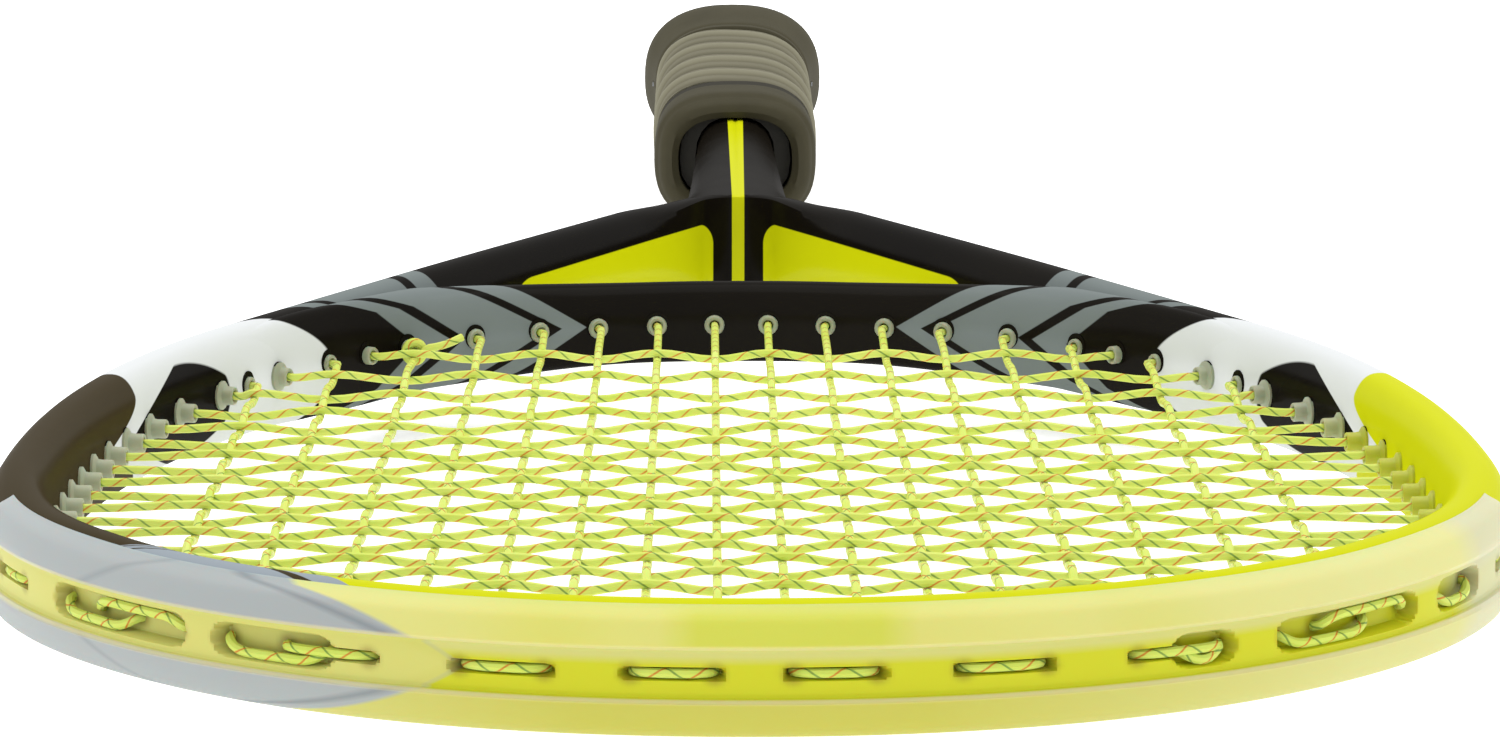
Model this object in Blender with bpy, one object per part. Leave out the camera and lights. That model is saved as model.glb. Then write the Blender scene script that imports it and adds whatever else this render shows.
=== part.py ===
"""Squash racket: one-piece carbon frame with an open throat, strung head and wrapped handle.

The racket lies flat. +Y runs from the head's tip to the butt, +X is to the right of that
line and +Z is square to the strings. The origin is under the middle of the racket's box, at
the height of the butt cap's underside. Sizes below are in millimetres; a "station" is the
distance from the tip towards the butt.
"""
from math import cos, pi, radians, sin, sqrt

import bmesh
import bpy
import numpy as np
from mathutils import Vector

MM = 0.001
GAP = 0.3                      # clearance kept between pieces that touch

# Overall
LENGTH = 685.0
PLANE_HEIGHT = 16.5            # string plane above the surface under the butt cap

# Head opening: two half superellipses that meet at the widest station
HEAD_HALF_WIDTH = 98.7
WIDEST_STATION = 115.0
TIP_REACH = 103.7
TIP_POWER = 2.08
BRIDGE_REACH = 182.0
BRIDGE_POWER = 2.2

# Frame tube
TUBE_WIDTH = 9.3
TUBE_POWER = 2.4
TIP_HALF_DEPTH = 7.7
SIDE_HALF_DEPTH = 9.1
SHOULDER_ANGLE = radians(23.5)
APEX_RADIUS = 7.5
SHOULDER_FILLET = 5.0
GROOVE_DEPTH = 2.7
GROOVE_HALF_HEIGHT = 3.4
GROOVE_RUN_OUT = 6.0           # groove left beyond the last string hole

# Shaft
SHAFT_HALF_WIDTH_TOP = 9.8
SHAFT_HALF_WIDTH_END = 7.9
SHAFT_HALF_DEPTH = 8.3
SHAFT_WALL = 1.4
SHAFT_TAPER_END = 520.0
SHAFT_END = 672.0
HOLLOW_START = 430.0

# Bridge across the throat
BRIDGE_THICKNESS = 8.8
BRIDGE_HALF_DEPTH = 6.9
BRIDGE_END_HALF_DEPTH = 8.2
BRIDGE_END_X = 64.0

# Strings and their holes
STRING_RADIUS = 0.65
MAIN_X = (4.5, 14.1, 23.8, 33.4, 43.8, 54.5, 66.5, 78.0)
CROSS_STATIONS = (262.0, 240.0, 221.0, 204.0, 189.3, 176.0, 164.0, 152.8, 141.8, 131.0,
                  120.4, 110.0, 99.6, 89.4, 79.4, 69.4, 59.4, 46.0, 34.6, 25.8)
WEAVE_HEIGHT = 1.6
BORE_RADIUS = 1.05
BARREL_RADIUS = 1.6
FRAME_HOLE_RADIUS = 1.95
SHARED_BORE_GROWTH = 0.95      # the tie-off holes take two strings
TIE_OFF_MAIN = 5               # index in MAIN_X of the mains that carry the two knots
TIE_OFF_DROP = 0.8             # a shared hole holds its two strings above and below centre
LANE_SPREAD = 1.6              # loops pass each other side by side in the groove

# Grommet strips and bumper
BAND_THICKNESS = 0.7
BAND_HALF_HEIGHT = 3.1
CHANNEL_HALF_HEIGHT = 2.6
BUMPER_THICKNESS = 2.0
BUMPER_CROWN = 1.3             # bulge of its lips above the tube's flat faces
BUMPER_LIP_ANGLE = 82.0
BUMPER_END_STATION = 86.0

# Handle
COLLAR_START = 523.0
COLLAR_END = 543.0
TAPE_END = 551.0
WRAP_END = 655.0
GRIP_HALF_WIDTH = 16.6
GRIP_HALF_DEPTH = 13.7
GRIP_POWER = 2.7
WRAP_THICKNESS = 2.0
WRAP_PITCH = 26.0
PALLET_START = 528.0
PALLET_SHOULDER = 540.0
PALLET_END = 681.5
PALLET_NOSE_SHRINK = 2.9
BUTT_HALF_WIDTH = 20.0
STAPLE_STATION = 667.0
STAPLE_HALF_SPAN = 3.0
STAPLE_WIRE = 0.9
STAPLE_LEG = 6.0


# ---------------------------------------------------------------- scene helpers

def clear_scene():
    for item in list(bpy.data.objects):
        bpy.data.objects.remove(item, do_unlink=True)


def material(name, color, roughness, metallic=0.0, alpha=1.0):
    made = bpy.data.materials.new(name)
    made.use_nodes = True
    shader = made.node_tree.nodes["Principled BSDF"]
    shader.inputs["Base Color"].default_value = (*color, 1.0)
    shader.inputs["Roughness"].default_value = roughness
    shader.inputs["Metallic"].default_value = metallic
    shader.inputs["Alpha"].default_value = alpha
    return made


def place(x, station, z=0.0):
    """World position of a point given across, along and above the string plane."""
    return Vector((x, station - LENGTH / 2, z + PLANE_HEIGHT)) * MM


def add_object(name, points, faces, finish=None, smooth=True):
    """Object from (x, station, z) points, doubles merged and faces turned outwards."""
    mesh = bpy.data.meshes.new(name)
    mesh.from_pydata([place(*point) for point in points], [], faces)
    work = bmesh.new()
    work.from_mesh(mesh)
    bmesh.ops.remove_doubles(work, verts=work.verts, dist=1e-6)
    loose = [vert for vert in work.verts if not vert.link_faces]
    bmesh.ops.delete(work, geom=loose, context="VERTS")
    bmesh.ops.recalc_face_normals(work, faces=work.faces)
    work.to_mesh(mesh)
    work.free()
    if smooth:
        mesh.shade_smooth()
        mesh.set_sharp_from_angle(angle=radians(35))
    made = bpy.data.objects.new(name, mesh)
    bpy.context.scene.collection.objects.link(made)
    if finish:
        mesh.materials.append(finish)
    return made


def helper_object(name, points, faces):
    """A cutter or a joining shape: it shapes other pieces and isn't one itself."""
    made = add_object(name, points, faces, smooth=False)
    made.hide_render = True
    made.display_type = "WIRE"
    return made


def combine(target, other, operation):
    step = target.modifiers.new(other.name, "BOOLEAN")
    step.operation = operation
    step.solver = "EXACT"
    step.object = other


def skin(rings, closed_ends=True):
    """Faces between equal rings of points, in order; returns (points, faces)."""
    count = len(rings[0])
    points = [point for ring in rings for point in ring]
    faces = []
    for row in range(len(rings) - 1):
        for k in range(count):
            after = (k + 1) % count
            faces.append((row * count + k, row * count + after,
                          (row + 1) * count + after, (row + 1) * count + k))
    if closed_ends:
        faces.append(tuple(range(count - 1, -1, -1)))
        faces.append(tuple(range((len(rings) - 1) * count, len(rings) * count)))
    return points, faces


def joined(shapes):
    """Several (points, faces) shapes as one list of points and faces."""
    points, faces = [], []
    for shape_points, shape_faces in shapes:
        start = len(points)
        points.extend(shape_points)
        faces.extend(tuple(index + start for index in face) for face in shape_faces)
    return points, faces


def rod(start, end, radius, sides=6):
    """Closed straight cylinder between two points, one corner towards +Z."""
    a, b = Vector(start), Vector(end)
    along = (b - a).normalized()
    up = Vector((0, 0, 1))
    side = along.cross(up).normalized()
    rings = []
    for centre in (a, b):
        ring = [centre + radius * (cos(2 * pi * k / sides) * up + sin(2 * pi * k / sides) * side)
                for k in range(sides)]
        rings.append([tuple(point) for point in ring])
    return skin(rings)


def tube(path, radius, sides=5):
    """Closed round tube along a list of points."""
    path = [Vector(point) for point in path]
    rings = []
    up = None
    for k, point in enumerate(path):
        before = path[max(k - 1, 0)]
        after = path[min(k + 1, len(path) - 1)]
        along = (after - before).normalized()
        if up is None:
            up = along.orthogonal().normalized()
        up = (up - along * up.dot(along)).normalized()
        side = along.cross(up)
        ring = [point + radius * (cos(2 * pi * j / sides) * up + sin(2 * pi * j / sides) * side)
                for j in range(sides)]
        rings.append([tuple(corner) for corner in ring])
    return skin(rings)


def oval(half_width, half_depth, power, sides, station):
    """Superellipse ring in the plane of one station, centred on the handle's axis."""
    ring = []
    for k in range(sides):
        angle = 2 * pi * k / sides
        c, s = cos(angle), sin(angle)
        x = half_width * np.sign(c) * abs(c) ** (2 / power)
        z = half_depth * np.sign(s) * abs(s) ** (2 / power)
        ring.append((float(x), station, float(z)))
    return ring


# ---------------------------------------------------------------- outlines in the string plane

class Track:
    """A curve from centre plane to centre plane with its outward normals, evenly spaced."""

    def __init__(self, points, spacing=0.5):
        points = np.asarray(points, float)
        steps = np.hypot(*np.diff(points, axis=0).T)
        run = np.concatenate([[0.0], np.cumsum(steps)])
        self.length = run[-1]
        self.s = np.linspace(0.0, self.length, int(self.length / spacing) + 1)
        self.point = np.stack([np.interp(self.s, run, points[:, k]) for k in (0, 1)], axis=1)
        slope = np.gradient(self.point, self.s, axis=0)
        slope /= np.hypot(*slope.T)[:, None]
        self.normal = np.stack([slope[:, 1], -slope[:, 0]], axis=1)
        self.normal[0], self.normal[-1] = (0.0, -1.0), (0.0, 1.0)

    def at(self, s, offset=0.0):
        point = np.array([np.interp(s, self.s, self.point[:, k]) for k in (0, 1)])
        normal = np.array([np.interp(s, self.s, self.normal[:, k]) for k in (0, 1)])
        return point + normal * offset

    def normal_at(self, s):
        normal = np.array([np.interp(s, self.s, self.normal[:, k]) for k in (0, 1)])
        return normal / np.hypot(*normal)

    def hit(self, start, direction, offset):
        """Where a ray meets this curve moved out by offset: (distance along ray, s)."""
        line = self.point + self.normal * offset - start
        across = line[:, 0] * direction[1] - line[:, 1] * direction[0]
        ahead = line @ direction
        for k in np.flatnonzero(np.sign(across[:-1]) != np.sign(across[1:])):
            share = across[k] / (across[k] - across[k + 1])
            distance = ahead[k] + share * (ahead[k + 1] - ahead[k])
            if distance > 0:
                return distance, self.s[k] + share * (self.s[k + 1] - self.s[k])
        raise ValueError("the ray misses the track")


def head_points(count=900):
    """Right half of the head opening, from the tip's centre to the bridge's centre."""
    points = []
    for k in range(count + 1):
        angle = pi * k / count
        reach, power = (TIP_REACH, TIP_POWER) if angle < pi / 2 else (BRIDGE_REACH, BRIDGE_POWER)
        x = HEAD_HALF_WIDTH * abs(sin(angle)) ** (2 / power)
        along = reach * abs(cos(angle)) ** (2 / power)
        points.append((x, WIDEST_STATION + (-along if angle < pi / 2 else along)))
    return points


HEAD = Track(head_points())


def hoop_points(inset=0.0):
    """Right inner wall of the frame: head, straight shoulder and round throat apex."""
    turn = np.flatnonzero((HEAD.normal[:, 1] > sin(SHOULDER_ANGLE)))[0]
    head = HEAD.point[:turn] + HEAD.normal[:turn] * inset
    normal = np.array([cos(SHOULDER_ANGLE), sin(SHOULDER_ANGLE)])
    radius = APEX_RADIUS + inset
    centre = (head[-1] @ normal - radius) / normal[1]
    angles = np.linspace(SHOULDER_ANGLE, pi / 2, 25)
    arc = np.stack([radius * np.cos(angles), centre + radius * np.sin(angles)], axis=1)
    return np.concatenate([head, arc])


HOOP = Track(hoop_points())
APEX_STATION = HOOP.point[-1][1]
APEX_START = HOOP.length - APEX_RADIUS * (pi / 2 - SHOULDER_ANGLE)
SHOULDER_START = HEAD.s[np.flatnonzero(HEAD.normal[:, 1] > sin(SHOULDER_ANGLE))[0]]


def shaft_half_width(station):
    share = (station - APEX_STATION) / (SHAFT_TAPER_END - APEX_STATION)
    share = min(max(share, 0.0), 1.0)
    return SHAFT_HALF_WIDTH_TOP + share * (SHAFT_HALF_WIDTH_END - SHAFT_HALF_WIDTH_TOP)


def smooth_step(value, low, high):
    share = min(max((value - low) / (high - low), 0.0), 1.0)
    return share * share * (3 - 2 * share)


def blend(a, b, share):
    return a + (b - a) * share


# ---------------------------------------------------------------- frame tube

SECTION_ANGLES = (48.0, 78.0, 108.0, 135.0, 180.0)


def power_point(angle, power):
    c, s = cos(angle), sin(angle)
    return np.sign(c) * abs(c) ** (2 / power), np.sign(s) * abs(s) ** (2 / power)


def tube_section(half_depth, groove, merge):
    """Upper half of a tube section as (share of width, height), outer side first.

    groove is the depth of the string groove. merge runs from 0, a whole tube, to 1, half of
    the shaft, whose flat side lies on the centre plane.
    """
    rows = [(-groove, GROOVE_HALF_HEIGHT), (0.0, GROOVE_HALF_HEIGHT + 0.1)]
    half = []
    for depth, height in rows:
        edge = (1 - (height / half_depth) ** TUBE_POWER) ** (1 / TUBE_POWER)
        half.append((depth, (1 + edge) / 2, height))
    for degrees in SECTION_ANGLES:
        c, s = power_point(radians(degrees), TUBE_POWER)
        whole = ((1 + c) / 2, half_depth * s)
        if degrees <= 135.0:
            c, s = power_point(radians(degrees) * 90 / 135, TUBE_POWER)
            fused = (c, half_depth * s)
        else:
            fused = (0.0, half_depth * (180.0 - degrees) / 45.0)
        half.append((0.0, blend(whole[0], fused[0], merge), blend(whole[1], fused[1], merge)))
    return half


def frame_station(s):
    """Inner wall point, outer wall point, half depth and merge of the frame at s."""
    inner = HOOP.at(min(s, HOOP.length))
    normal = HOOP.normal_at(min(s, HOOP.length))
    past_head = smooth_step(inner[1], 40.0, 110.0)
    half_depth = blend(TIP_HALF_DEPTH, SIDE_HALF_DEPTH, past_head)
    if inner[1] < APEX_STATION - 140:
        return inner, inner + normal * TUBE_WIDTH, half_depth, 0.0
    beyond = max(s - HOOP.length, 0.0)
    inner[1] += beyond
    lead = TUBE_WIDTH * sin(SHOULDER_ANGLE) * (1 - smooth_step(beyond, 0.0, 30.0))
    station = inner[1] + lead
    straight = HOOP.at(HOOP.length * 0.75, TUBE_WIDTH)
    line = straight[0] - (station - straight[1]) * np.tan(SHOULDER_ANGLE)
    shaft = shaft_half_width(station)
    if station >= SHAFT_TAPER_END:
        return inner, np.array([shaft, station]), SHAFT_HALF_DEPTH, 1.0
    x = (line + shaft + sqrt((line - shaft) ** 2 + SHOULDER_FILLET ** 2)) / 2
    half_depth = blend(SIDE_HALF_DEPTH, SHAFT_HALF_DEPTH, smooth_step(station, 300.0, 430.0))
    merge = smooth_step(inner[1], APEX_STATION - 28.0, APEX_STATION)
    return inner, np.array([x, station]), half_depth, merge


HEAD_STOPS = list(np.linspace(0.0, SHOULDER_START, 27))


def frame_stops(groove_end):
    """Where the frame's cross-sections sit: evenly round the head, closer at the apex."""
    shoulder = [groove_end, groove_end + GROOVE_RUN_OUT]
    shoulder += list(np.linspace(groove_end + 20.0, APEX_START, 6))
    apex = list(np.linspace(APEX_START, HOOP.length, 4)[1:])
    shaft = [HOOP.length + step for step in (8.0, 18.0, 30.0, 60.0)]
    shaft += [HOOP.length + station - APEX_STATION for station in (SHAFT_TAPER_END, SHAFT_END)]
    return HEAD_STOPS + shoulder + apex + shaft


def head_frame_shape(groove_end):
    """Both halves of the hairpin frame as one skin, joined on the centre plane."""
    rings, merged = [], []
    for s in frame_stops(groove_end):
        inner, outer, half_depth, merge = frame_station(s)
        fade = 1 - smooth_step(s, groove_end, groove_end + GROOVE_RUN_OUT)
        across = outer - inner
        upper = []
        for depth, share, height in tube_section(half_depth, GROOVE_DEPTH * fade, merge):
            point = inner + across * share + across / np.hypot(*across) * depth
            upper.append((float(point[0]), float(point[1]), height))
        lower = [(x, station, -z) for x, station, z in reversed(upper[:-1])]
        rings.append(upper + lower)
        merged.append(s >= HOOP.length - 1e-6)
    count = len(rings[0])
    flat_from = 2 + SECTION_ANGLES.index(135.0)
    flat_to = count - 1 - flat_from
    points, faces = [], []
    for side in (1, -1):
        start = len(points)
        points.extend((side * x, station, z) for ring in rings for x, station, z in ring)
        for row in range(len(rings) - 1):
            for k in range(count):
                if merged[row] and flat_from <= k < flat_to:
                    continue
                after = (k + 1) % count
                quad = (start + row * count + k, start + row * count + after,
                        start + (row + 1) * count + after, start + (row + 1) * count + k)
                faces.append(quad if side > 0 else quad[::-1])
    last = (len(rings) - 1) * count
    left = len(rings) * count
    rim = list(range(flat_to, count)) + list(range(0, flat_from + 1))
    right_rim = [last + k for k in rim]
    left_rim = [left + last + k for k in reversed(rim)]
    faces.append(tuple(right_rim + left_rim[1:-1]))
    return points, faces


def shaft_core():
    """The hollow of the shaft, open at its butt end."""
    rings = []
    for station in (HOLLOW_START, SHAFT_TAPER_END, SHAFT_END + 5):
        half_width = shaft_half_width(station) - SHAFT_WALL
        rings.append(oval(half_width, SHAFT_HALF_DEPTH - SHAFT_WALL, TUBE_POWER, 12, station))
    return skin(rings)


# ---------------------------------------------------------------- string holes

BAND_FLOOR = TUBE_WIDTH - GROOVE_DEPTH + GAP
BAND_TOP = BAND_FLOOR + BAND_THICKNESS
LANE = BAND_TOP + 0.25 + STRING_RADIUS
BRIDGE_LANE = BRIDGE_THICKNESS + 1.6 + STRING_RADIUS
BRIDGE_GROMMETS = 5            # mains on each side that pass the bridge alone


class Hole:
    """One string hole on the right side; side mirrors it. It runs square to the wall."""

    def __init__(self, s, side, protrusion, in_bridge=False, shared=False):
        self.side = side
        self.wall = HEAD.at(s)
        self.normal = HEAD.normal_at(s)
        self.protrusion = protrusion
        self.in_bridge = in_bridge
        self.shared = shared
        if in_bridge:
            self.out, self.s = BRIDGE_LANE, s
        else:
            self.out, self.s = HOOP.hit(self.wall, self.normal, LANE)

    def point(self, distance, z=0.0):
        """Point on the hole's axis, counted outwards from the inner wall."""
        x, station = self.wall + self.normal * distance
        return (self.side * float(x), float(station), z)

    @property
    def bend(self):
        """Where the string leaves the hole's axis and turns into the string bed."""
        return self.point(-self.protrusion - 1.0)

    @property
    def barrel_end(self):
        """Where a barrel stops inside its band; a wide, slanting one stops lower."""
        return self.out - LANE + BAND_TOP - (0.75 if self.shared else 0.3)

    def cylinder(self, radius, start, end):
        grown = radius + (SHARED_BORE_GROWTH if self.shared else 0.0)
        return rod(self.point(start), self.point(end), grown)


def find_hole(axis, value, region, side, protrusion, **more):
    """The hole whose string lines up with a main's x (axis 0) or a cross's station (axis 1)."""
    low, high = region
    for s in np.arange(low, high, 0.25):
        reach = protrusion(HEAD.normal_at(s)) + 1.0
        here = (HEAD.at(s) - HEAD.normal_at(s) * reach)[axis]
        there = (HEAD.at(s + 0.25) - HEAD.normal_at(s + 0.25) * reach)[axis]
        if (here - value) * (there - value) <= 0 and here != there:
            exact = s + 0.25 * (value - here) / (there - here)
            return Hole(exact, side, protrusion(HEAD.normal_at(exact)), **more)
    raise ValueError("no hole at this line")


def short_barrel(_):
    return 0.8


def side_barrel(normal):
    return 0.8 + 2.4 * normal[0] ** 6


def string_holes():
    """Every hole, by (kind, number, side, end)."""
    widest = HEAD.s[int(np.argmax(HEAD.point[:, 0]))]
    holes = {}
    for side in (-1, 1):
        for number, x in enumerate(MAIN_X):
            tip_knot = number == TIE_OFF_MAIN and side == 1
            far_knot = number == TIE_OFF_MAIN and side == -1
            holes["main", number, side, "tip"] = find_hole(
                0, x, (0.0, widest), side, short_barrel, shared=tip_knot)
            holes["main", number, side, "far"] = find_hole(
                0, x, (widest, HEAD.length), side, short_barrel,
                in_bridge=number < BRIDGE_GROMMETS, shared=far_knot)
        for number, station in enumerate(CROSS_STATIONS):
            holes["cross", number, side, ""] = find_hole(
                1, station, (0.0, HEAD.length), side, side_barrel)
    return holes


# ---------------------------------------------------------------- the string

def outside_run(first, second, high=False, lane_z=LANE_SPREAD):
    """Points from one hole's mouth to the next along the outside of the frame."""
    if first.in_bridge:
        return bridge_run(first, second)
    lift = LANE_SPREAD if high else 0.0
    lane_z = 0.0 if high else lane_z
    starts = (hole_z(first, high), hole_z(second, high))
    toward = 1.0 if second.s > first.s else -1.0
    gap = abs(second.s - first.s)
    turn = min(2.6, gap / 3)
    stops = [(0.5, 0.2)] + [(step, 1.0) for step in np.arange(turn, gap - turn, 7.5)]
    stops += [(gap - turn, 1.0), (gap - 0.5, 0.2)]
    points = [first.point(first.out - 1.1, starts[0])]
    for step, share in stops:
        dip = 0.0 if share == 1 or first.shared or second.shared else 0.3
        offset = LANE + lift * share - dip
        x, station = HOOP.at(first.s + toward * step, offset)
        z = blend(starts[0] if step < gap / 2 else starts[1], lane_z, share)
        points.append((first.side * float(x), float(station), z))
    points.append(second.point(second.out - 1.1, starts[1]))
    return points


def hole_z(hole, tied_end=False):
    """Height of a string in its hole: a shared hole holds the tied end under its main."""
    if not hole.shared:
        return 0.0
    return -TIE_OFF_DROP if tied_end else TIE_OFF_DROP


def bridge_run(first, second):
    """Loop on the throat side of the bridge between two of its mains."""
    start = first.side * (HEAD.length - first.s)
    end = second.side * (HEAD.length - second.s)
    step = 1.1 if end > start else -1.1
    points = [first.point(BRIDGE_LANE - 1.3)]
    for along in (start + step, blend(start, end, 0.5), end - step):
        x, station = HEAD.at(HEAD.length - abs(along), BRIDGE_LANE)
        points.append((float(x) * (1 if along > 0 else -1), float(station), 0.0))
    points.append(second.point(BRIDGE_LANE - 1.3))
    return points


def main_end(hole, toward_bed):
    """A main from inside its hole to the bed; it drops to the string plane past a knot."""
    x, station, _ = hole.bend
    z = hole_z(hole)
    points = [hole.point(1.0, z), (x, station, z)]
    if hole.shared:
        points.append((x, station + toward_bed * 1.3, 0.0))
    return points


def bed_run(kind, number, side, holes, start_low):
    """A straight run across the bed; crosses weave over and under the mains."""
    if kind == "main":
        tip = holes["main", number, side, "tip"]
        far = holes["main", number, side, "far"]
        points = main_end(tip, 1) + main_end(far, -1)[::-1]
        return points if start_low else points[::-1]
    station = CROSS_STATIONS[number]
    left, right = holes["cross", number, -1, ""], holes["cross", number, 1, ""]
    first, second = (right, left) if side == 1 else (left, right)
    crossed = []
    for index, x in enumerate(MAIN_X):
        for main_side in (-1, 1):
            tip = holes["main", index, main_side, "tip"].bend[1]
            far = holes["main", index, main_side, "far"].bend[1]
            if tip < station < far and x < abs(right.bend[0]) - 0.3:
                crossed.append((main_side * x, (index if main_side > 0 else -index - 1)))
    crossed.sort(reverse=side == 1)
    points = [first.point(1.0), first.bend]
    for x, order in crossed:
        over = 1 if (order + number) % 2 == 0 else -1
        points.append((x, station, over * WEAVE_HEIGHT))
    return points + [second.bend, second.point(1.0)]


def string_path(holes):
    """The one string, from the knot by the bridge to the knot by the tip."""
    last = len(MAIN_X) - 1
    order = [(number, -1) for number in range(last, -1, -1)]
    order += [(number, 1) for number in range(last + 1)]
    knot = holes["main", TIE_OFF_MAIN, -1, "far"]
    path = [knot.point(-1.4, -TIE_OFF_DROP), knot.point(2.0, -TIE_OFF_DROP)]
    path += outside_run(knot, holes["main", last, -1, "far"], high=True)
    start_low = False
    for step, (number, side) in enumerate(order):
        path += bed_run("main", number, side, holes, start_low)
        end = "tip" if not start_low else "far"
        if step + 1 < len(order):
            after, after_side = order[step + 1]
            path += outside_run(holes["main", number, side, end],
                                holes["main", after, after_side, end])
        start_low = not start_low
    path += outside_run(holes["main", last, 1, "far"], holes["cross", 0, 1, ""], high=True)
    side = 1
    for number in range(len(CROSS_STATIONS)):
        path += bed_run("cross", number, side, holes, False)
        side = -side
        if number + 1 < len(CROSS_STATIONS):
            path += outside_run(holes["cross", number, side, ""],
                                holes["cross", number + 1, side, ""], lane_z=-LANE_SPREAD)
    knot = holes["main", TIE_OFF_MAIN, 1, "tip"]
    path += outside_run(holes["cross", len(CROSS_STATIONS) - 1, 1, ""], knot, high=True)
    path += [knot.point(2.0, -TIE_OFF_DROP), knot.point(-1.4, -TIE_OFF_DROP)]
    return path


def knot_path(hole, toward, turns):
    """Hitches round a main beside its hole, then the cut tail standing clear of the bed."""
    x, start = hole.bend[0], hole.bend[1] + toward * 2.2
    turn_radius = 2 * STRING_RADIUS + 0.35
    pitch = 2 * STRING_RADIUS + 0.3
    steps = int(10 * turns)
    points = []
    for k in range(steps + 1):
        angle = -pi / 2 + 2 * pi * turns * k / steps
        points.append((x + turn_radius * cos(angle), start + toward * pitch * turns * k / steps,
                       turn_radius * sin(angle)))
    end = points[-1]
    away = 1 if end[0] > x else -1
    for out, back, up in ((0.5, 0.0, 1.2), (2.4, 0.3, 2.0), (5.5, 1.2, 2.8)):
        points.append((end[0] + away * out, end[1] - toward * back, end[2] + up))
    return points


# ---------------------------------------------------------------- pieces

def make_frame(holes, carbon):
    groove_end = max(hole.s for hole in holes.values() if not hole.in_bridge) + GROOVE_RUN_OUT
    frame = add_object("head_frame", *head_frame_shape(groove_end), carbon)
    drills = [hole.cylinder(FRAME_HOLE_RADIUS, -1.5, hole.out + 0.5)
              for hole in holes.values() if not hole.in_bridge]
    combine(frame, helper_object("frame_drills", *joined(drills)), "DIFFERENCE")
    combine(frame, helper_object("shaft_hollow", *shaft_core()), "DIFFERENCE")


def bridge_shape():
    rings = []
    end = next(s for s in HEAD.s[::-1] if HEAD.at(s)[0] >= BRIDGE_END_X)
    stops = np.linspace(end, HEAD.length, 9)
    centre = [(s, 1) for s in stops] + [(s, -1) for s in stops[-2::-1]]
    for s, side in centre:
        inner = HEAD.at(s)
        normal = HEAD.normal_at(s)
        share = smooth_step(float(inner[0]), 15.0, BRIDGE_END_X)
        half_depth = blend(BRIDGE_HALF_DEPTH, BRIDGE_END_HALF_DEPTH, share)
        ring = []
        for k in range(12):
            c, s_value = power_point(2 * pi * k / 12, TUBE_POWER)
            x, station = inner + normal * BRIDGE_THICKNESS * (1 + c) / 2
            ring.append((side * float(x), float(station), half_depth * float(s_value)))
        rings.append(ring)
    return skin(rings)


def frame_envelope():
    """The frame's shoulders grown by the gap, to cut the bridge's ends to length."""
    shapes = []
    for side in (1, -1):
        rings = []
        for s in HEAD_STOPS[-7:] + list(np.linspace(SHOULDER_START + 15, APEX_START, 4)):
            inner, outer, half_depth, _ = frame_station(s)
            along = (outer - inner) / np.hypot(*(outer - inner))
            low, high = inner - along * GAP, outer + along * GAP
            ring = []
            for k in range(12):
                c, s_value = power_point(2 * pi * k / 12, TUBE_POWER)
                x, station = low + (high - low) * (1 + c) / 2
                ring.append((side * float(x), float(station), (half_depth + GAP) * float(s_value)))
            rings.append(ring)
        shapes.append(skin(rings))
    return joined(shapes)


def make_bridge(holes, carbon):
    bridge = add_object("throat_bridge", *bridge_shape(), carbon)
    combine(bridge, helper_object("shoulder_envelope", *frame_envelope()), "DIFFERENCE")
    drills = [hole.cylinder(FRAME_HOLE_RADIUS, -1.5, min(hole.out, 16.0) + 0.5)
              for hole in holes.values() if hole.wall[1] > CROSS_STATIONS[1] + 12]
    combine(bridge, helper_object("bridge_drills", *joined(drills)), "DIFFERENCE")


def bumper_section(half_depth):
    """Closed section of the bumper round the frame's outer half, as (offset, height)."""
    middle = TUBE_WIDTH / 2

    def shell(degrees, extra, lift):
        c, s = power_point(radians(degrees), TUBE_POWER)
        return middle + (middle + extra) * c, (half_depth + lift) * s

    upper = [(BAND_TOP, CHANNEL_HALF_HEIGHT), (TUBE_WIDTH + BUMPER_THICKNESS, CHANNEL_HALF_HEIGHT)]
    upper += [shell(angle, BUMPER_THICKNESS, BUMPER_CROWN) for angle in (40.0, 66.0)]
    upper += [shell(BUMPER_LIP_ANGLE, BUMPER_THICKNESS * 0.75, BUMPER_CROWN * 0.7)]
    upper += [shell(angle, GAP, GAP) for angle in (BUMPER_LIP_ANGLE, SECTION_ANGLES[1], SECTION_ANGLES[0])]
    upper += [(TUBE_WIDTH + GAP, BAND_HALF_HEIGHT), (BAND_FLOOR, BAND_HALF_HEIGHT)]
    return upper + [(offset, -height) for offset, height in reversed(upper)]


def band_section(_):
    top, floor, height = BAND_TOP, BAND_FLOOR, BAND_HALF_HEIGHT
    return [(top, -height), (top, height), (floor, height), (floor, -height)]


def sweep(section, stops):
    """Skin of a section carried along the frame; stops are (s, side) in order."""
    rings = []
    for s, side in stops:
        inner, _, half_depth, _ = frame_station(s)
        normal = HOOP.normal_at(s)
        ring = []
        for offset, height in section(half_depth):
            x, station = inner + normal * offset
            ring.append((side * float(x), float(station), float(height)))
        rings.append(ring)
    return skin(rings)


def add_barrels(piece, holes):
    """Hollow string barrels on a strip: solid barrels joined on, then bored through."""
    barrels = [hole.cylinder(BARREL_RADIUS, -hole.protrusion, hole.barrel_end) for hole in holes]
    bores = [hole.cylinder(BORE_RADIUS, -hole.protrusion - 1, hole.out + 0.4) for hole in holes]
    combine(piece, helper_object(piece.name + "_barrels", *joined(barrels)), "UNION")
    combine(piece, helper_object(piece.name + "_bores", *joined(bores)), "DIFFERENCE")


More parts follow.
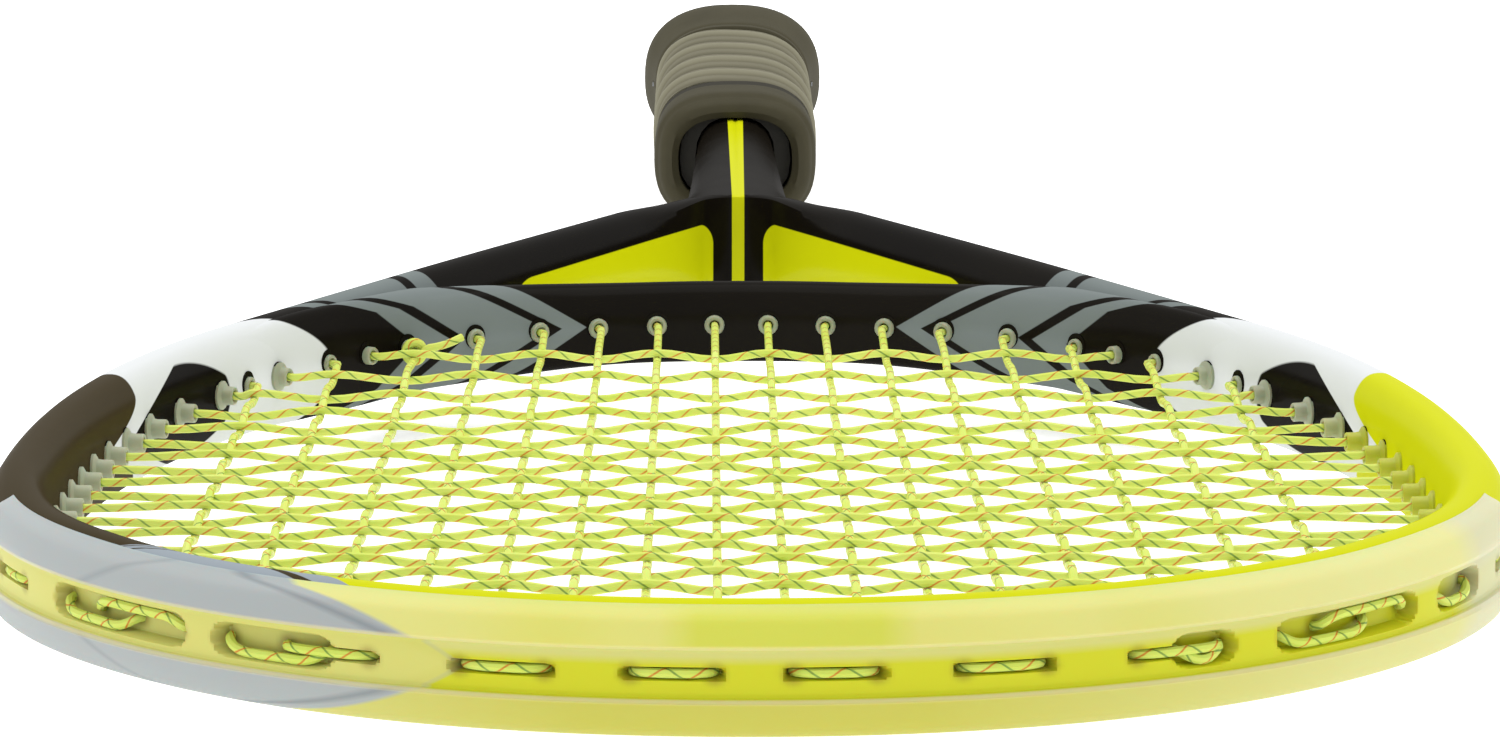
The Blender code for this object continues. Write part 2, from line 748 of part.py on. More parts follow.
def make_strips(holes, clear_plastic, strip_plastic):
    """The bumper round the tip and a grommet strip down each side."""
    outside = [hole for hole in holes.values() if not hole.in_bridge]
    split = min(HEAD_STOPS, key=lambda s: abs(HEAD.at(s)[1] - BUMPER_END_STATION))
    under_bumper = [s for s in HEAD_STOPS if s <= split]
    stops = [(s, -1) for s in under_bumper[::-1]] + [(s, 1) for s in under_bumper[1:]]
    bumper = add_object("bumper_guard", *sweep(bumper_section, stops), clear_plastic)
    add_barrels(bumper, [hole for hole in outside if hole.s < split])
    for side, name in ((-1, "grommet_strip_left"), (1, "grommet_strip_right")):
        mine = [hole for hole in outside if hole.side == side and hole.s > split]
        end = max(hole.s for hole in mine) + 4.0
        stops = [split + 1.0] + [s for s in HEAD_STOPS if s > split] + [end]
        strip = add_object(name, *sweep(band_section, [(s, side) for s in stops]), strip_plastic)
        add_barrels(strip, mine)


def make_bridge_grommets(holes, plastic):
    """A separate flanged grommet in each plain hole of the bridge."""
    alone = [holes["main", number, side, "far"] for side in (-1, 1)
             for number in range(BRIDGE_GROMMETS)]
    alone.sort(key=lambda hole: hole.side * hole.wall[0])
    for count, hole in enumerate(alone, start=1):
        flange = BRIDGE_THICKNESS + GAP
        profile = [(-hole.protrusion, BARREL_RADIUS), (flange, BARREL_RADIUS), (flange, 2.6),
                   (flange + 0.5, 2.6), (flange + 0.5, BORE_RADIUS),
                   (-hole.protrusion, BORE_RADIUS)]
        rings = [rod(hole.point(distance), hole.point(distance + 1), radius, 6)[0][:6]
                 for distance, radius in profile]
        points, faces = skin(rings + [rings[0]], closed_ends=False)
        add_object(f"bridge_grommet_{count:02d}", points, faces, plastic)


def make_string(holes, gut):
    add_object("racket_string", *tube(string_path(holes), STRING_RADIUS), gut)
    far = holes["main", TIE_OFF_MAIN, -1, "far"]
    tip = holes["main", TIE_OFF_MAIN, 1, "tip"]
    add_object("tie_off_knot_bridge", *tube(knot_path(far, -1, 2.25), STRING_RADIUS), gut)
    add_object("tie_off_knot_tip", *tube(knot_path(tip, 1, 0.75), STRING_RADIUS), gut)


def handle_ring(shrink, station, sides=20):
    return oval(GRIP_HALF_WIDTH - shrink, GRIP_HALF_DEPTH - shrink, GRIP_POWER, sides, station)


def make_pallet(foam):
    nose = WRAP_THICKNESS + GAP + PALLET_NOSE_SHRINK
    body = WRAP_THICKNESS + GAP
    rings = [handle_ring(nose, PALLET_START), handle_ring(body, PALLET_SHOULDER),
             handle_ring(body, PALLET_END)]
    pallet = add_object("handle_pallet", *skin(rings), foam)
    bore = [oval(shaft_half_width(station) + GAP, SHAFT_HALF_DEPTH + GAP, TUBE_POWER, 20, station)
            for station in (PALLET_START - 2, SHAFT_END + 1)]
    combine(pallet, helper_object("pallet_bore", *skin(bore)), "DIFFERENCE")
    return pallet


def wrap_height(station, angle):
    """Rise of the spiral tape: a seam where its edges meet and a rib along its middle."""
    phase = (station / WRAP_PITCH - angle / (2 * pi)) % 1.0
    seam = min(phase, 1 - phase) * WRAP_PITCH
    rib = abs(phase - 0.5) * WRAP_PITCH
    return 0.55 * min(seam / 3.5, 1.0) - 0.55 + 0.35 * max(0.0, 1 - rib / 3.5)


def make_wrap(grip):
    sides, steps = 16, 29
    outer = []
    for station in np.linspace(TAPE_END + GAP, WRAP_END, steps):
        ring = []
        for k, (x, _, z) in enumerate(handle_ring(0.35, float(station), sides)):
            grow = 1 + wrap_height(station, 2 * pi * k / sides) / sqrt(x * x + z * z)
            ring.append((x * grow, float(station), z * grow))
        outer.append(ring)
    inner = [handle_ring(WRAP_THICKNESS, station, sides) for station in (WRAP_END, TAPE_END + GAP)]
    points, faces = skin(outer + inner + [outer[0]], closed_ends=False)
    add_object("grip_wrap", points, faces, grip)


def sleeve(name, stations, outer_shrink, inner_shrink, finish, sides=20):
    """Ring round the handle: outer and inner shrink per station."""
    outer = [handle_ring(shrink, station, sides) for station, shrink in zip(stations, outer_shrink)]
    inner = [handle_ring(shrink, station, sides) for station, shrink in zip(stations, inner_shrink)]
    points, faces = skin(outer + inner[::-1] + [outer[0]], closed_ends=False)
    return add_object(name, points, faces, finish)


def make_collar(rubber, tape):
    nose = WRAP_THICKNESS + PALLET_NOSE_SHRINK
    stations = (COLLAR_START, COLLAR_START + 2.0, PALLET_START, PALLET_SHOULDER, COLLAR_END)
    outer = (1.6, 0.2, -0.1, 0.0, 0.2)
    inner = (nose - 0.8, nose, nose, WRAP_THICKNESS, WRAP_THICKNESS)
    sleeve("grip_collar", stations, outer, inner, rubber)
    stations = (COLLAR_END + GAP, COLLAR_END + 1.5, TAPE_END)
    sleeve("grip_finishing_tape", stations, (0.6, 0.3, 0.3), (WRAP_THICKNESS,) * 3, tape)


def butt_shape():
    """Cup over the pallet's end: flared outside, rounded into a flat end face."""
    start = WRAP_END + GAP
    grow = BUTT_HALF_WIDTH - GRIP_HALF_WIDTH
    depth_grow = PLANE_HEIGHT - GRIP_HALF_DEPTH
    profile = [(start, 0.0), (start + 4, 0.05), (664.0, 0.3), (671.0, 0.8), (676.0, 1.0),
               (681.0, 1.0), (683.8, 0.75), (LENGTH, 0.3)]
    rings = [oval(GRIP_HALF_WIDTH + grow * share, GRIP_HALF_DEPTH + depth_grow * share,
                  GRIP_POWER - 0.3, 24, station) for station, share in profile]
    return skin(rings)


def make_butt(pallet, rubber, steel):
    butt = add_object("butt_cap", *butt_shape(), rubber)
    socket = [handle_ring(WRAP_THICKNESS, station) for station in (WRAP_END - 3, PALLET_END + GAP)]
    combine(butt, helper_object("butt_socket", *skin(socket)), "DIFFERENCE")
    cuts = []
    for side, name in ((-1, "butt_cap_staple_left"), (1, "butt_cap_staple_right")):
        add_object(name, *staple(side, 0.0), steel, smooth=False)
        cuts.append(staple(side, GAP))
    cutter = helper_object("staple_slots", *joined(cuts))
    combine(butt, cutter, "DIFFERENCE")
    combine(pallet, cutter, "DIFFERENCE")


def staple(side, extra):
    """U of flat wire pushed in from one side; extra grows it into its own slot."""
    half = STAPLE_WIRE / 2 + extra
    crown = GRIP_HALF_WIDTH + 1.1
    tip = crown - STAPLE_LEG
    span = STAPLE_HALF_SPAN
    outline = [(tip - extra, -span - half), (crown + half + extra * 6, -span - half),
               (crown + half + extra * 6, span + half), (tip - extra, span + half),
               (tip - extra, span - half), (crown - half, span - half),
               (crown - half, -span + half), (tip - extra, -span + half)]
    rings = [[(side * x, STAPLE_STATION + along, z) for x, along in outline] for z in (-half, half)]
    return skin(rings)


def build():
    clear_scene()
    carbon = material("carbon_painted", (0.75, 0.78, 0.02), 0.3)
    black = material("bridge_black", (0.012, 0.012, 0.012), 0.25)
    clear_plastic = material("clear_plastic", (0.75, 0.8, 0.72), 0.4, alpha=0.8)
    gut = material("string_green", (0.6, 0.75, 0.08), 0.35)
    grip = material("grip_taupe", (0.3, 0.28, 0.24), 0.7)
    rubber = material("collar_rubber", (0.06, 0.055, 0.045), 0.6)
    tape = material("tape_dark", (0.09, 0.085, 0.07), 0.55)
    foam = material("pallet_foam", (0.5, 0.42, 0.3), 0.8)
    steel = material("staple_steel", (0.6, 0.6, 0.62), 0.3, 1.0)
    holes = string_holes()
    make_frame(holes, carbon)
    make_bridge(holes, black)
    make_strips(holes, clear_plastic, clear_plastic)
    make_bridge_grommets(holes, clear_plastic)
    make_string(holes, gut)
    pallet = make_pallet(foam)
    make_wrap(grip)
    make_collar(rubber, tape)
    make_butt(pallet, rubber, steel)


build()
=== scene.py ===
"""Looks of the squash racket: fine meshes, paint, strings, grip and studio round the CAD.

Sizes are in millimetres. As in the CAD, a "station" is the distance from the head's tip
towards the butt, x is across and z is the height above the string plane. "Arc" is the
distance from the tip along the frame's inner wall, and "girth" the distance round the tube
from the middle of that wall, positive upwards.
"""
from math import cos, pi, radians, sin, sqrt

import bpy
import numpy as np
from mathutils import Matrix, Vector


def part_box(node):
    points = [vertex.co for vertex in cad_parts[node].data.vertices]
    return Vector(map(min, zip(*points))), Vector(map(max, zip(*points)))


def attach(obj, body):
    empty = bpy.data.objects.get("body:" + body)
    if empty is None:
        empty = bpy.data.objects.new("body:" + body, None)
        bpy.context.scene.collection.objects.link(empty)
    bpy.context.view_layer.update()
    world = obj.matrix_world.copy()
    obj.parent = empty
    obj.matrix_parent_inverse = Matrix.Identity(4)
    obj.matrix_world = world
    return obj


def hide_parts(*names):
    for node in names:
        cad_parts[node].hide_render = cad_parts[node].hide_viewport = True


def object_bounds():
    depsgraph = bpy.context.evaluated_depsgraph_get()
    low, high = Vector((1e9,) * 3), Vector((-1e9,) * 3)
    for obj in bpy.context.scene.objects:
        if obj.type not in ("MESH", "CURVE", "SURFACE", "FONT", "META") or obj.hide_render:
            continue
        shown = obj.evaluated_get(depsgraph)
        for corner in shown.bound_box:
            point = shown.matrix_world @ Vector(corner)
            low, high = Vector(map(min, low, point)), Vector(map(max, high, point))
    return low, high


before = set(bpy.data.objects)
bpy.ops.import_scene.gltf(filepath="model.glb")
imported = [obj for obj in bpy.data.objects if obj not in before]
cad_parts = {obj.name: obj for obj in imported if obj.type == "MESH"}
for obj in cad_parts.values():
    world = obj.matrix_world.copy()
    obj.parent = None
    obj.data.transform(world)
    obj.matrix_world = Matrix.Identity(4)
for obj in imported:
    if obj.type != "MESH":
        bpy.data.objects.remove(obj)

cad_low, cad_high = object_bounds()

MM = 0.001
LENGTH = (cad_high.y - cad_low.y) / MM
PLANE_HEIGHT = sum(corner.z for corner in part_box("head_frame")) / 2 / MM

# Head outline and frame tube, as in the CAD
HEAD_HALF_WIDTH = 98.7
WIDEST_STATION = 115.0
TIP_REACH = 103.7
TIP_POWER = 2.08
BRIDGE_REACH = 182.0
BRIDGE_POWER = 2.2
TUBE_WIDTH = 9.3
TUBE_POWER = 2.4
TIP_HALF_DEPTH = 7.7
SIDE_HALF_DEPTH = 9.1
SHOULDER_ANGLE = radians(23.5)
APEX_RADIUS = 7.5
SHOULDER_FILLET = 5.0
GROOVE_DEPTH = 2.7
SHAFT_HALF_WIDTH_TOP = 9.8
SHAFT_HALF_WIDTH_END = 7.9
SHAFT_HALF_DEPTH = 8.3
SHAFT_TAPER_END = 520.0
# a station this near the taper's end counts as past it, whatever its last digit
ROUNDING = 0.001
SHAFT_END = 672.0
BRIDGE_THICKNESS = 8.8
BRIDGE_HALF_DEPTH = 6.9
BRIDGE_END_X = 64.0

# Strings, holes and the plastic round them
STRING_RADIUS = 0.65
MAIN_X = (4.5, 14.1, 23.8, 33.4, 43.8, 54.5, 66.5, 78.0)
CROSS_STATIONS = (262.0, 240.0, 221.0, 204.0, 189.3, 176.0, 164.0, 152.8, 141.8, 131.0,
                  120.4, 110.0, 99.6, 89.4, 79.4, 69.4, 59.4, 46.0, 34.6, 25.8)
BRIDGE_GROMMETS = 5
TIE_OFF_MAIN = 5
MAIN_WEAVE = 0.75
CROSS_WEAVE = 0.55
HOLE_RADIUS = 2.05
BAND_FLOOR = TUBE_WIDTH - GROOVE_DEPTH + 0.3
BAND_TOP = BAND_FLOOR + 0.7
BAND_HALF_HEIGHT = 3.1
BUMPER_THICKNESS = 2.0
BUMPER_CROWN = 1.3
BUMPER_END_STATION = 86.0
# the tube at the tip is this much deeper than in the CAD, and the crown that much lower
TIP_RISE = 1.0
LOOP_OFFSET = TUBE_WIDTH + 0.1
LANE_SPREAD = 1.45
THREAD_PITCH = 5.3
SINGLE_SLOT = 0.85
DOUBLE_SLOT = 2.2
BARREL_RADIUS = 1.5
LONG_BARREL = 1.6
BUMPER_ROUNDING = 6.0
CHANNEL_EDGE = 3.25
BORE_RADIUS = 0.82
WELL_RAISE = 0.35
FIRST_WELL_ARC = 200.0
BRIDGE_PAINT_STATION = 237.0
# angles up and down the tube where the lips end; the photo shows bare paint above the upper one
UPPER_LIP_END = 71.0
LOWER_LIP_END = 83.0
# colours are darkened by this, because the studio's light is brighter than the photo's
STUDIO_SHARE = 0.66
SHARP_ANGLE = radians(40.0)

# Handle
COLLAR_START = 523.0
COLLAR_END = 543.0
TAPE_END = 551.0
WRAP_END = 655.0
GRIP_HALF_WIDTH = 16.6
GRIP_HALF_DEPTH = 13.7
GRIP_POWER = 2.7
WRAP_THICKNESS = 2.0
WRAP_PITCH = 26.0
BUTT_HALF_WIDTH = 20.0
WRAP_SIDES = 96
HANDLE_SIDES = 72
SEAM_DROP = 0.9
RIB_RISE = 0.75


# ---------------------------------------------------------------- meshes

def place(x, station, z=0.0):
    return (x * MM, (station - LENGTH / 2) * MM, (z + PLANE_HEIGHT) * MM)


def along(points):
    """Distance of each point from the first one, along the path."""
    steps = np.linalg.norm(np.diff(np.asarray(points, float), axis=0), axis=1)
    return np.concatenate([[0.0], np.cumsum(steps)])


def mirrored(side, spot, z=0.0):
    """(x, station, z) of a spot on the right half, or of its mirror image for side -1."""
    return side * float(spot[0]), float(spot[1]), float(z)


def link(name, data):
    made = bpy.data.objects.new(name, data)
    bpy.context.scene.collection.objects.link(made)
    return made


def make_piece(name, shapes, finish, node):
    """A piece from (points, faces, uvs) shapes; uvs holds one (arc, girth) pair per corner."""
    points, faces, uvs = [], [], []
    for shape_points, shape_faces, shape_uvs in shapes:
        start = len(points)
        points.extend(place(*point) for point in shape_points)
        faces.extend(tuple(index + start for index in face) for face in shape_faces)
        uvs.extend(shape_uvs)
    mesh = bpy.data.meshes.new(name)
    mesh.from_pydata(points, [], faces)
    layer = mesh.uv_layers.new(name="surface")
    layer.data.foreach_set("uv", np.asarray(uvs, np.float32).ravel())
    mesh.materials.append(finish)
    mesh.shade_smooth()
    mesh.set_sharp_from_angle(angle=SHARP_ANGLE)
    piece = link(name, mesh)
    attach(piece, "root")
    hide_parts(node)
    return piece


def store(piece, name, values):
    """Keeps one value per point on a piece; points past the list's end get 0."""
    layer = piece.data.attributes.new(name, "FLOAT", "POINT")
    padded = np.zeros(len(piece.data.vertices), np.float32)
    padded[:len(values)] = values
    layer.data.foreach_set("value", padded)


def skin(rings, uvs, loop=False):
    """Quads between equal rings. uvs has one column more than the rings. loop joins the last
    ring to the first; otherwise both ends are capped."""
    rings = np.asarray(rings, float)
    rows, count = rings.shape[:2]
    points = [tuple(point) for point in rings.reshape(-1, 3)]
    faces, corners = [], []
    for row in range(rows if loop else rows - 1):
        after_row = (row + 1) % rows
        for k in range(count):
            after = (k + 1) % count
            quad = [(row * count + k, uvs[row][k]), (row * count + after, uvs[row][k + 1]),
                    (after_row * count + after, uvs[after_row][k + 1]),
                    (after_row * count + k, uvs[after_row][k])]
            faces.append(tuple(index for index, _ in quad))
            corners.extend(uv for _, uv in quad)
    if not loop:
        for row, order in ((0, range(count - 1, -1, -1)), (rows - 1, range(count))):
            faces.append(tuple(row * count + k for k in order))
            corners.extend(uvs[row][k] for k in order)
    return points, faces, corners


def outwards(shape):
    """The same shape with its faces turned outwards, judged by its signed volume."""
    points, faces, corners = shape
    position = np.asarray(points, float)
    volume = 0.0
    for face in faces:
        a = position[face[0]]
        for k in range(1, len(face) - 1):
            volume += a @ np.cross(position[face[k]], position[face[k + 1]])
    if volume >= 0:
        return shape
    turned, turned_corners, start = [], [], 0
    for face in faces:
        turned.append(face[::-1])
        turned_corners.extend(corners[start:start + len(face)][::-1])
        start += len(face)
    return points, turned, turned_corners


def tube(path, radius, sides=8):
    """Round tube along a list of points; u runs along it and v from 0 to 1 round it."""
    path = np.asarray(path, float)
    ahead = np.gradient(path, axis=0)
    ahead /= np.linalg.norm(ahead, axis=1)[:, None]
    run = along(path)
    up = np.array(Vector(ahead[0]).orthogonal().normalized())
    turns = [2 * pi * j / sides for j in range(sides)]
    rings, uvs = [], []
    for k, point in enumerate(path):
        up = up - ahead[k] * (up @ ahead[k])
        up /= np.linalg.norm(up)
        side = np.cross(ahead[k], up)
        rings.append([point + radius * (cos(turn) * up + sin(turn) * side) for turn in turns])
        uvs.append([(run[k], j / sides) for j in range(sides + 1)])
    return skin(rings, uvs)


def revolve(profile, at, sides=16):
    """Ring-shaped solid: profile's (distance, radius) pairs go round the line at(distance)."""
    up = np.array((0.0, 0.0, 1.0))
    turns = [2 * pi * j / sides for j in range(sides)]
    rings, uvs = [], []
    for distance, radius in profile:
        centre = np.array(at(distance))
        side = np.cross(np.array(at(distance + 1.0)) - centre, up)
        side /= np.linalg.norm(side)
        rings.append([centre + radius * (cos(turn) * side + sin(turn) * up) for turn in turns])
        uvs.append([(distance, j / sides) for j in range(sides + 1)])
    return outwards(skin(rings, uvs, loop=True))


def rounded(points, spacing, passes=2):
    """Smooth path through rough points: corners cut, then evenly spaced."""
    path = np.asarray(points, float)
    for _ in range(passes):
        inner = np.empty((2 * len(path) - 2, 3))
        inner[0::2] = 0.75 * path[:-1] + 0.25 * path[1:]
        inner[1::2] = 0.25 * path[:-1] + 0.75 * path[1:]
        path = np.concatenate([path[:1], inner, path[-1:]])
    run = along(path)
    steps = np.linspace(0.0, run[-1], max(int(run[-1] / spacing), 2) + 1)
    return np.stack([np.interp(steps, run, path[:, k]) for k in range(3)], axis=1)


# ---------------------------------------------------------------- outlines, as in the CAD

class Track:
    """A curve in the string plane with its outward normals, evenly spaced."""

    def __init__(self, points, spacing=0.5):
        points = np.asarray(points, float)
        run = along(points)
        self.length = run[-1]
        self.s = np.linspace(0.0, self.length, int(self.length / spacing) + 1)
        self.point = np.stack([np.interp(self.s, run, points[:, k]) for k in (0, 1)], axis=1)
        slope = np.gradient(self.point, self.s, axis=0)
        slope /= np.hypot(*slope.T)[:, None]
        self.normal = np.stack([slope[:, 1], -slope[:, 0]], axis=1)
        self.normal[0], self.normal[-1] = (0.0, -1.0), (0.0, 1.0)

    def normal_at(self, s):
        normal = np.array([np.interp(s, self.s, self.normal[:, k]) for k in (0, 1)])
        return normal / np.hypot(*normal)

    def at(self, s, offset=0.0):
        point = np.array([np.interp(s, self.s, self.point[:, k]) for k in (0, 1)])
        return point + self.normal_at(s) * offset

    def hit(self, start, direction, offset):
        """Where a ray meets this curve moved out by offset: (distance along ray, s)."""
        line = self.point + self.normal * offset - start
        across = line[:, 0] * direction[1] - line[:, 1] * direction[0]
        ahead = line @ direction
        for k in np.flatnonzero(np.sign(across[:-1]) != np.sign(across[1:])):
            share = across[k] / (across[k] - across[k + 1])
            distance = ahead[k] + share * (ahead[k + 1] - ahead[k])
            if distance > 0:
                return distance, self.s[k] + share * (self.s[k + 1] - self.s[k])
        raise ValueError("the ray misses the track")


def head_points(count=1800):
    """Right half of the head opening, from the tip's centre to the bridge's centre."""
    points = []
    for k in range(count + 1):
        angle = pi * k / count
        reach, power = (TIP_REACH, TIP_POWER) if angle < pi / 2 else (BRIDGE_REACH, BRIDGE_POWER)
        x = HEAD_HALF_WIDTH * abs(sin(angle)) ** (2 / power)
        along = reach * abs(cos(angle)) ** (2 / power)
        points.append((x, WIDEST_STATION + (-along if angle < pi / 2 else along)))
    return points


HEAD = Track(head_points())
SHOULDER_INDEX = np.flatnonzero(HEAD.normal[:, 1] > sin(SHOULDER_ANGLE))[0]
SHOULDER_START = HEAD.s[SHOULDER_INDEX]
SHOULDER_NORMAL = np.array([cos(SHOULDER_ANGLE), sin(SHOULDER_ANGLE)])


def hoop_points():
    """Right inner wall of the frame: head, straight shoulder and round throat apex."""
    head = HEAD.point[:SHOULDER_INDEX]
    centre = (head[-1] @ SHOULDER_NORMAL - APEX_RADIUS) / SHOULDER_NORMAL[1]
    angles = np.linspace(SHOULDER_ANGLE, pi / 2, 40)
    arc = np.stack([APEX_RADIUS * np.cos(angles), centre + APEX_RADIUS * np.sin(angles)], axis=1)
    return np.concatenate([head, arc])


HOOP = Track(hoop_points())
APEX_STATION = HOOP.point[-1][1]


def smooth_step(value, low, high):
    share = min(max((value - low) / (high - low), 0.0), 1.0)
    return share * share * (3 - 2 * share)


def blend(a, b, share):
    return a + (b - a) * share


def power_point(angle, power):
    c, s = cos(angle), sin(angle)
    return np.sign(c) * abs(c) ** (2 / power), np.sign(s) * abs(s) ** (2 / power)


def oval(half_width, half_depth, power, sides, station):
    ring = []
    for k in range(sides):
        c, s = power_point(2 * pi * k / sides, power)
        ring.append((half_width * c, station, half_depth * s))
    return ring


def shaft_half_width(station):
    share = min(max((station - APEX_STATION) / (SHAFT_TAPER_END - APEX_STATION), 0.0), 1.0)
    return SHAFT_HALF_WIDTH_TOP + share * (SHAFT_HALF_WIDTH_END - SHAFT_HALF_WIDTH_TOP)


# ---------------------------------------------------------------- frame and bridge

def tip_rise(station):
    """Extra half depth of the tube at the tip, inside the height of the bumper's crown."""
    return TIP_RISE * (1 - smooth_step(station, 50.0, BUMPER_END_STATION))


def frame_station(s):
    """Inner wall point, outer wall point, half depth and merge of the frame at s."""
    inner = HOOP.at(min(s, HOOP.length))
    normal = HOOP.normal_at(min(s, HOOP.length))
    half_depth = blend(TIP_HALF_DEPTH, SIDE_HALF_DEPTH, smooth_step(inner[1], 40.0, 110.0))
    half_depth += tip_rise(inner[1])
    if inner[1] < APEX_STATION - 140:
        return inner, inner + normal * TUBE_WIDTH, half_depth, 0.0
    beyond = max(s - HOOP.length, 0.0)
    inner[1] += beyond
    lead = TUBE_WIDTH * sin(SHOULDER_ANGLE) * (1 - smooth_step(beyond, 0.0, 30.0))
    station = inner[1] + lead
    straight = HOOP.at(HOOP.length * 0.75, TUBE_WIDTH)
    line = straight[0] - (station - straight[1]) * np.tan(SHOULDER_ANGLE)
    shaft = shaft_half_width(station)
    if station > SHAFT_TAPER_END - ROUNDING:
        return inner, np.array([shaft, station]), SHAFT_HALF_DEPTH, 1.0
    x = (line + shaft + sqrt((line - shaft) ** 2 + SHOULDER_FILLET ** 2)) / 2
    half_depth = blend(SIDE_HALF_DEPTH, SHAFT_HALF_DEPTH, smooth_step(station, 300.0, 430.0))
    merge = smooth_step(inner[1], APEX_STATION - 28.0, APEX_STATION)
    return inner, np.array([x, station]), half_depth, merge


def section_stops(half_depth, groove):
    """(angle, depth) of the tube section's points from its outer middle to its inner one."""
    rows = [(0.0, 1.0), (1.2, 1.0), (2.3, 1.0), (3.0, 0.97), (3.3, 0.75), (3.4, 0.3),
            (3.5, 0.08), (3.75, 0.0), (4.1, 0.0)]
    stops = [(np.arcsin((height / half_depth) ** (TUBE_POWER / 2)), -groove * share)
             for height, share in rows]
    return stops + [(angle, 0.0) for angle in np.linspace(stops[-1][0], pi, 26)[1:]]


def half_section(s, groove):
    """Upper half of the frame's section at s as (x, station, z), outer middle first."""
    inner, outer, half_depth, merge = frame_station(s)
    across = outer - inner
    outward = across / np.hypot(*across)
    upper = []
    for angle, depth in section_stops(half_depth, groove):
        c, rise = power_point(angle, TUBE_POWER)
        share, z = (1 + c) / 2, half_depth * rise
        if merge > 0:
            if angle <= 0.75 * pi:
                c, rise = power_point(angle * 2 / 3, TUBE_POWER)
                fused = (c, half_depth * rise)
            else:
                fused = (0.0, half_depth * (pi - angle) / (pi / 4))
            share, z = blend(share, fused[0], merge), blend(z, fused[1], merge)
        point = inner + across * share + outward * depth
        upper.append((float(point[0]), float(point[1]), float(z)))
    return upper


def girths(upper):
    """Distance of each point of a half section from its last one, the inner middle."""
    steps = np.linalg.norm(np.diff(np.asarray(upper), axis=0), axis=1)
    return np.concatenate([np.cumsum(steps[::-1])[::-1], [0.0]])


def frame_stops():
    stops = list(np.arange(0.0, HOOP.length - 9.0, 1.8))
    stops += list(np.linspace(HOOP.length - 8.5, HOOP.length, 14))
    stops += [HOOP.length + step for step in (2, 4, 7, 10, 14, 18, 24, 30, 38, 48, 60)]
    stops += [HOOP.length + station - APEX_STATION
              for station in np.linspace(480.0, SHAFT_TAPER_END, 5)]
    return stops + [HOOP.length + SHAFT_END - APEX_STATION]


def frame_shape(groove_end):
    """Both halves as one shell, joined at the tip and fused into the shaft."""
    points, faces, corners, known = [], [], [], {}
    for side in (1, -1):
        rings, uvs = [], []
        for s in frame_stops():
            fade = 1 - smooth_step(s, groove_end, groove_end + 6.0)
            upper = half_section(s, GROOVE_DEPTH * fade)
            girth = girths(upper)
            lower = [(x, station, -z) for x, station, z in upper[-2:0:-1]]
            rings.append([(side * x, station, z) for x, station, z in upper + lower])
            around = list(girth) + [-value for value in girth[-2::-1]]
            uvs.append([(s, value) for value in around])
        half_points, half_faces, half_corners = outwards(skin(rings, uvs))
        start = 0
        for face in half_faces:
            ends = [half_points[index] for index in face]
            if max(abs(x) for x, _, _ in ends) > 1e-6:
                places = [tuple(round(value, 5) for value in end) for end in ends]
                for spot in places:
                    if spot not in known:
                        known[spot] = len(points)
                        points.append(spot)
                faces.append(tuple(known[spot] for spot in places))
                corners.extend(half_corners[start:start + len(face)])
            start += len(face)
    return points, faces, corners


def bridge_thickness(s):
    """Thickness at s, swelling into a fillet where the bridge meets the shoulder."""
    gap = (HEAD.at(SHOULDER_START) - HEAD.at(s)) @ SHOULDER_NORMAL
    gap /= HEAD.normal_at(s) @ SHOULDER_NORMAL
    swell = max(0.0, 1 - max(gap - BRIDGE_THICKNESS, 0.0) / 14.0) ** 2 * 4.5
    return min(BRIDGE_THICKNESS + swell, max(gap + 3.0, 6.0))


def bridge_shape():
    sides = 48
    stops = np.arange(SHOULDER_START - 6.0, HEAD.length, 1.5)
    centre = [(s, 1) for s in stops] + [(HEAD.length, 1)] + [(s, -1) for s in stops[::-1]]
    rings, uvs = [], []
    for s, side in centre:
        sunk = 0.25 * (1 - smooth_step(s, SHOULDER_START, SHOULDER_START + 22.0))
        inner, normal = HEAD.at(s, sunk), HEAD.normal_at(s)
        share = smooth_step(float(inner[0]), 15.0, BRIDGE_END_X)
        half_depth = blend(BRIDGE_HALF_DEPTH, SIDE_HALF_DEPTH - 0.15, share)
        half_depth -= 0.6 * (1 - smooth_step(s, SHOULDER_START - 4.0, SHOULDER_START + 20.0))
        ring = []
        for k in range(sides):
            c, rise = power_point(pi + 2 * pi * k / sides, TUBE_POWER)
            spot = inner + normal * (bridge_thickness(s) - sunk) * (1 + c) / 2
            ring.append(mirrored(side, spot, -half_depth * rise))
        run = along(ring + ring[:1])
        rings.append(ring)
        uvs.append([(s, value if value <= run[-1] / 2 else value - run[-1]) for value in run])
    return outwards(skin(rings, uvs))


# ---------------------------------------------------------------- string holes

class Hole:
    """One string hole; side mirrors it. Its line runs square to the head's inner wall."""

    def __init__(self, s, side, protrusion, in_bridge=False):
        self.side = side
        self.wall = HEAD.at(s)
        self.normal = HEAD.normal_at(s)
        self.protrusion = protrusion
        self.in_bridge = in_bridge
        if in_bridge:
            self.out, self.s = BRIDGE_THICKNESS + 2.25, s
        else:
            self.out, self.s = HOOP.hit(self.wall, self.normal, BAND_TOP + 0.9)

    def point(self, distance, z=0.0):
        return mirrored(self.side, self.wall + self.normal * distance, z)

    @property
    def bend(self):
        """Where the string leaves the hole's line and turns into the string bed."""
        return self.point(-self.protrusion - 1.0)


def find_hole(axis, value, region, side, protrusion, **more):
    """The hole whose string lines up with a main's x (axis 0) or a cross's station (axis 1)."""
    for s in np.arange(*region, 0.25):
        reach = protrusion(HEAD.normal_at(s)) + 1.0
        here = HEAD.at(s, -reach)[axis]
        there = HEAD.at(s + 0.25, -reach)[axis]
        if (here - value) * (there - value) <= 0 and here != there:
            exact = s + 0.25 * (value - here) / (there - here)
            return Hole(exact, side, protrusion(HEAD.normal_at(exact)), **more)
    raise ValueError("no hole at this line")


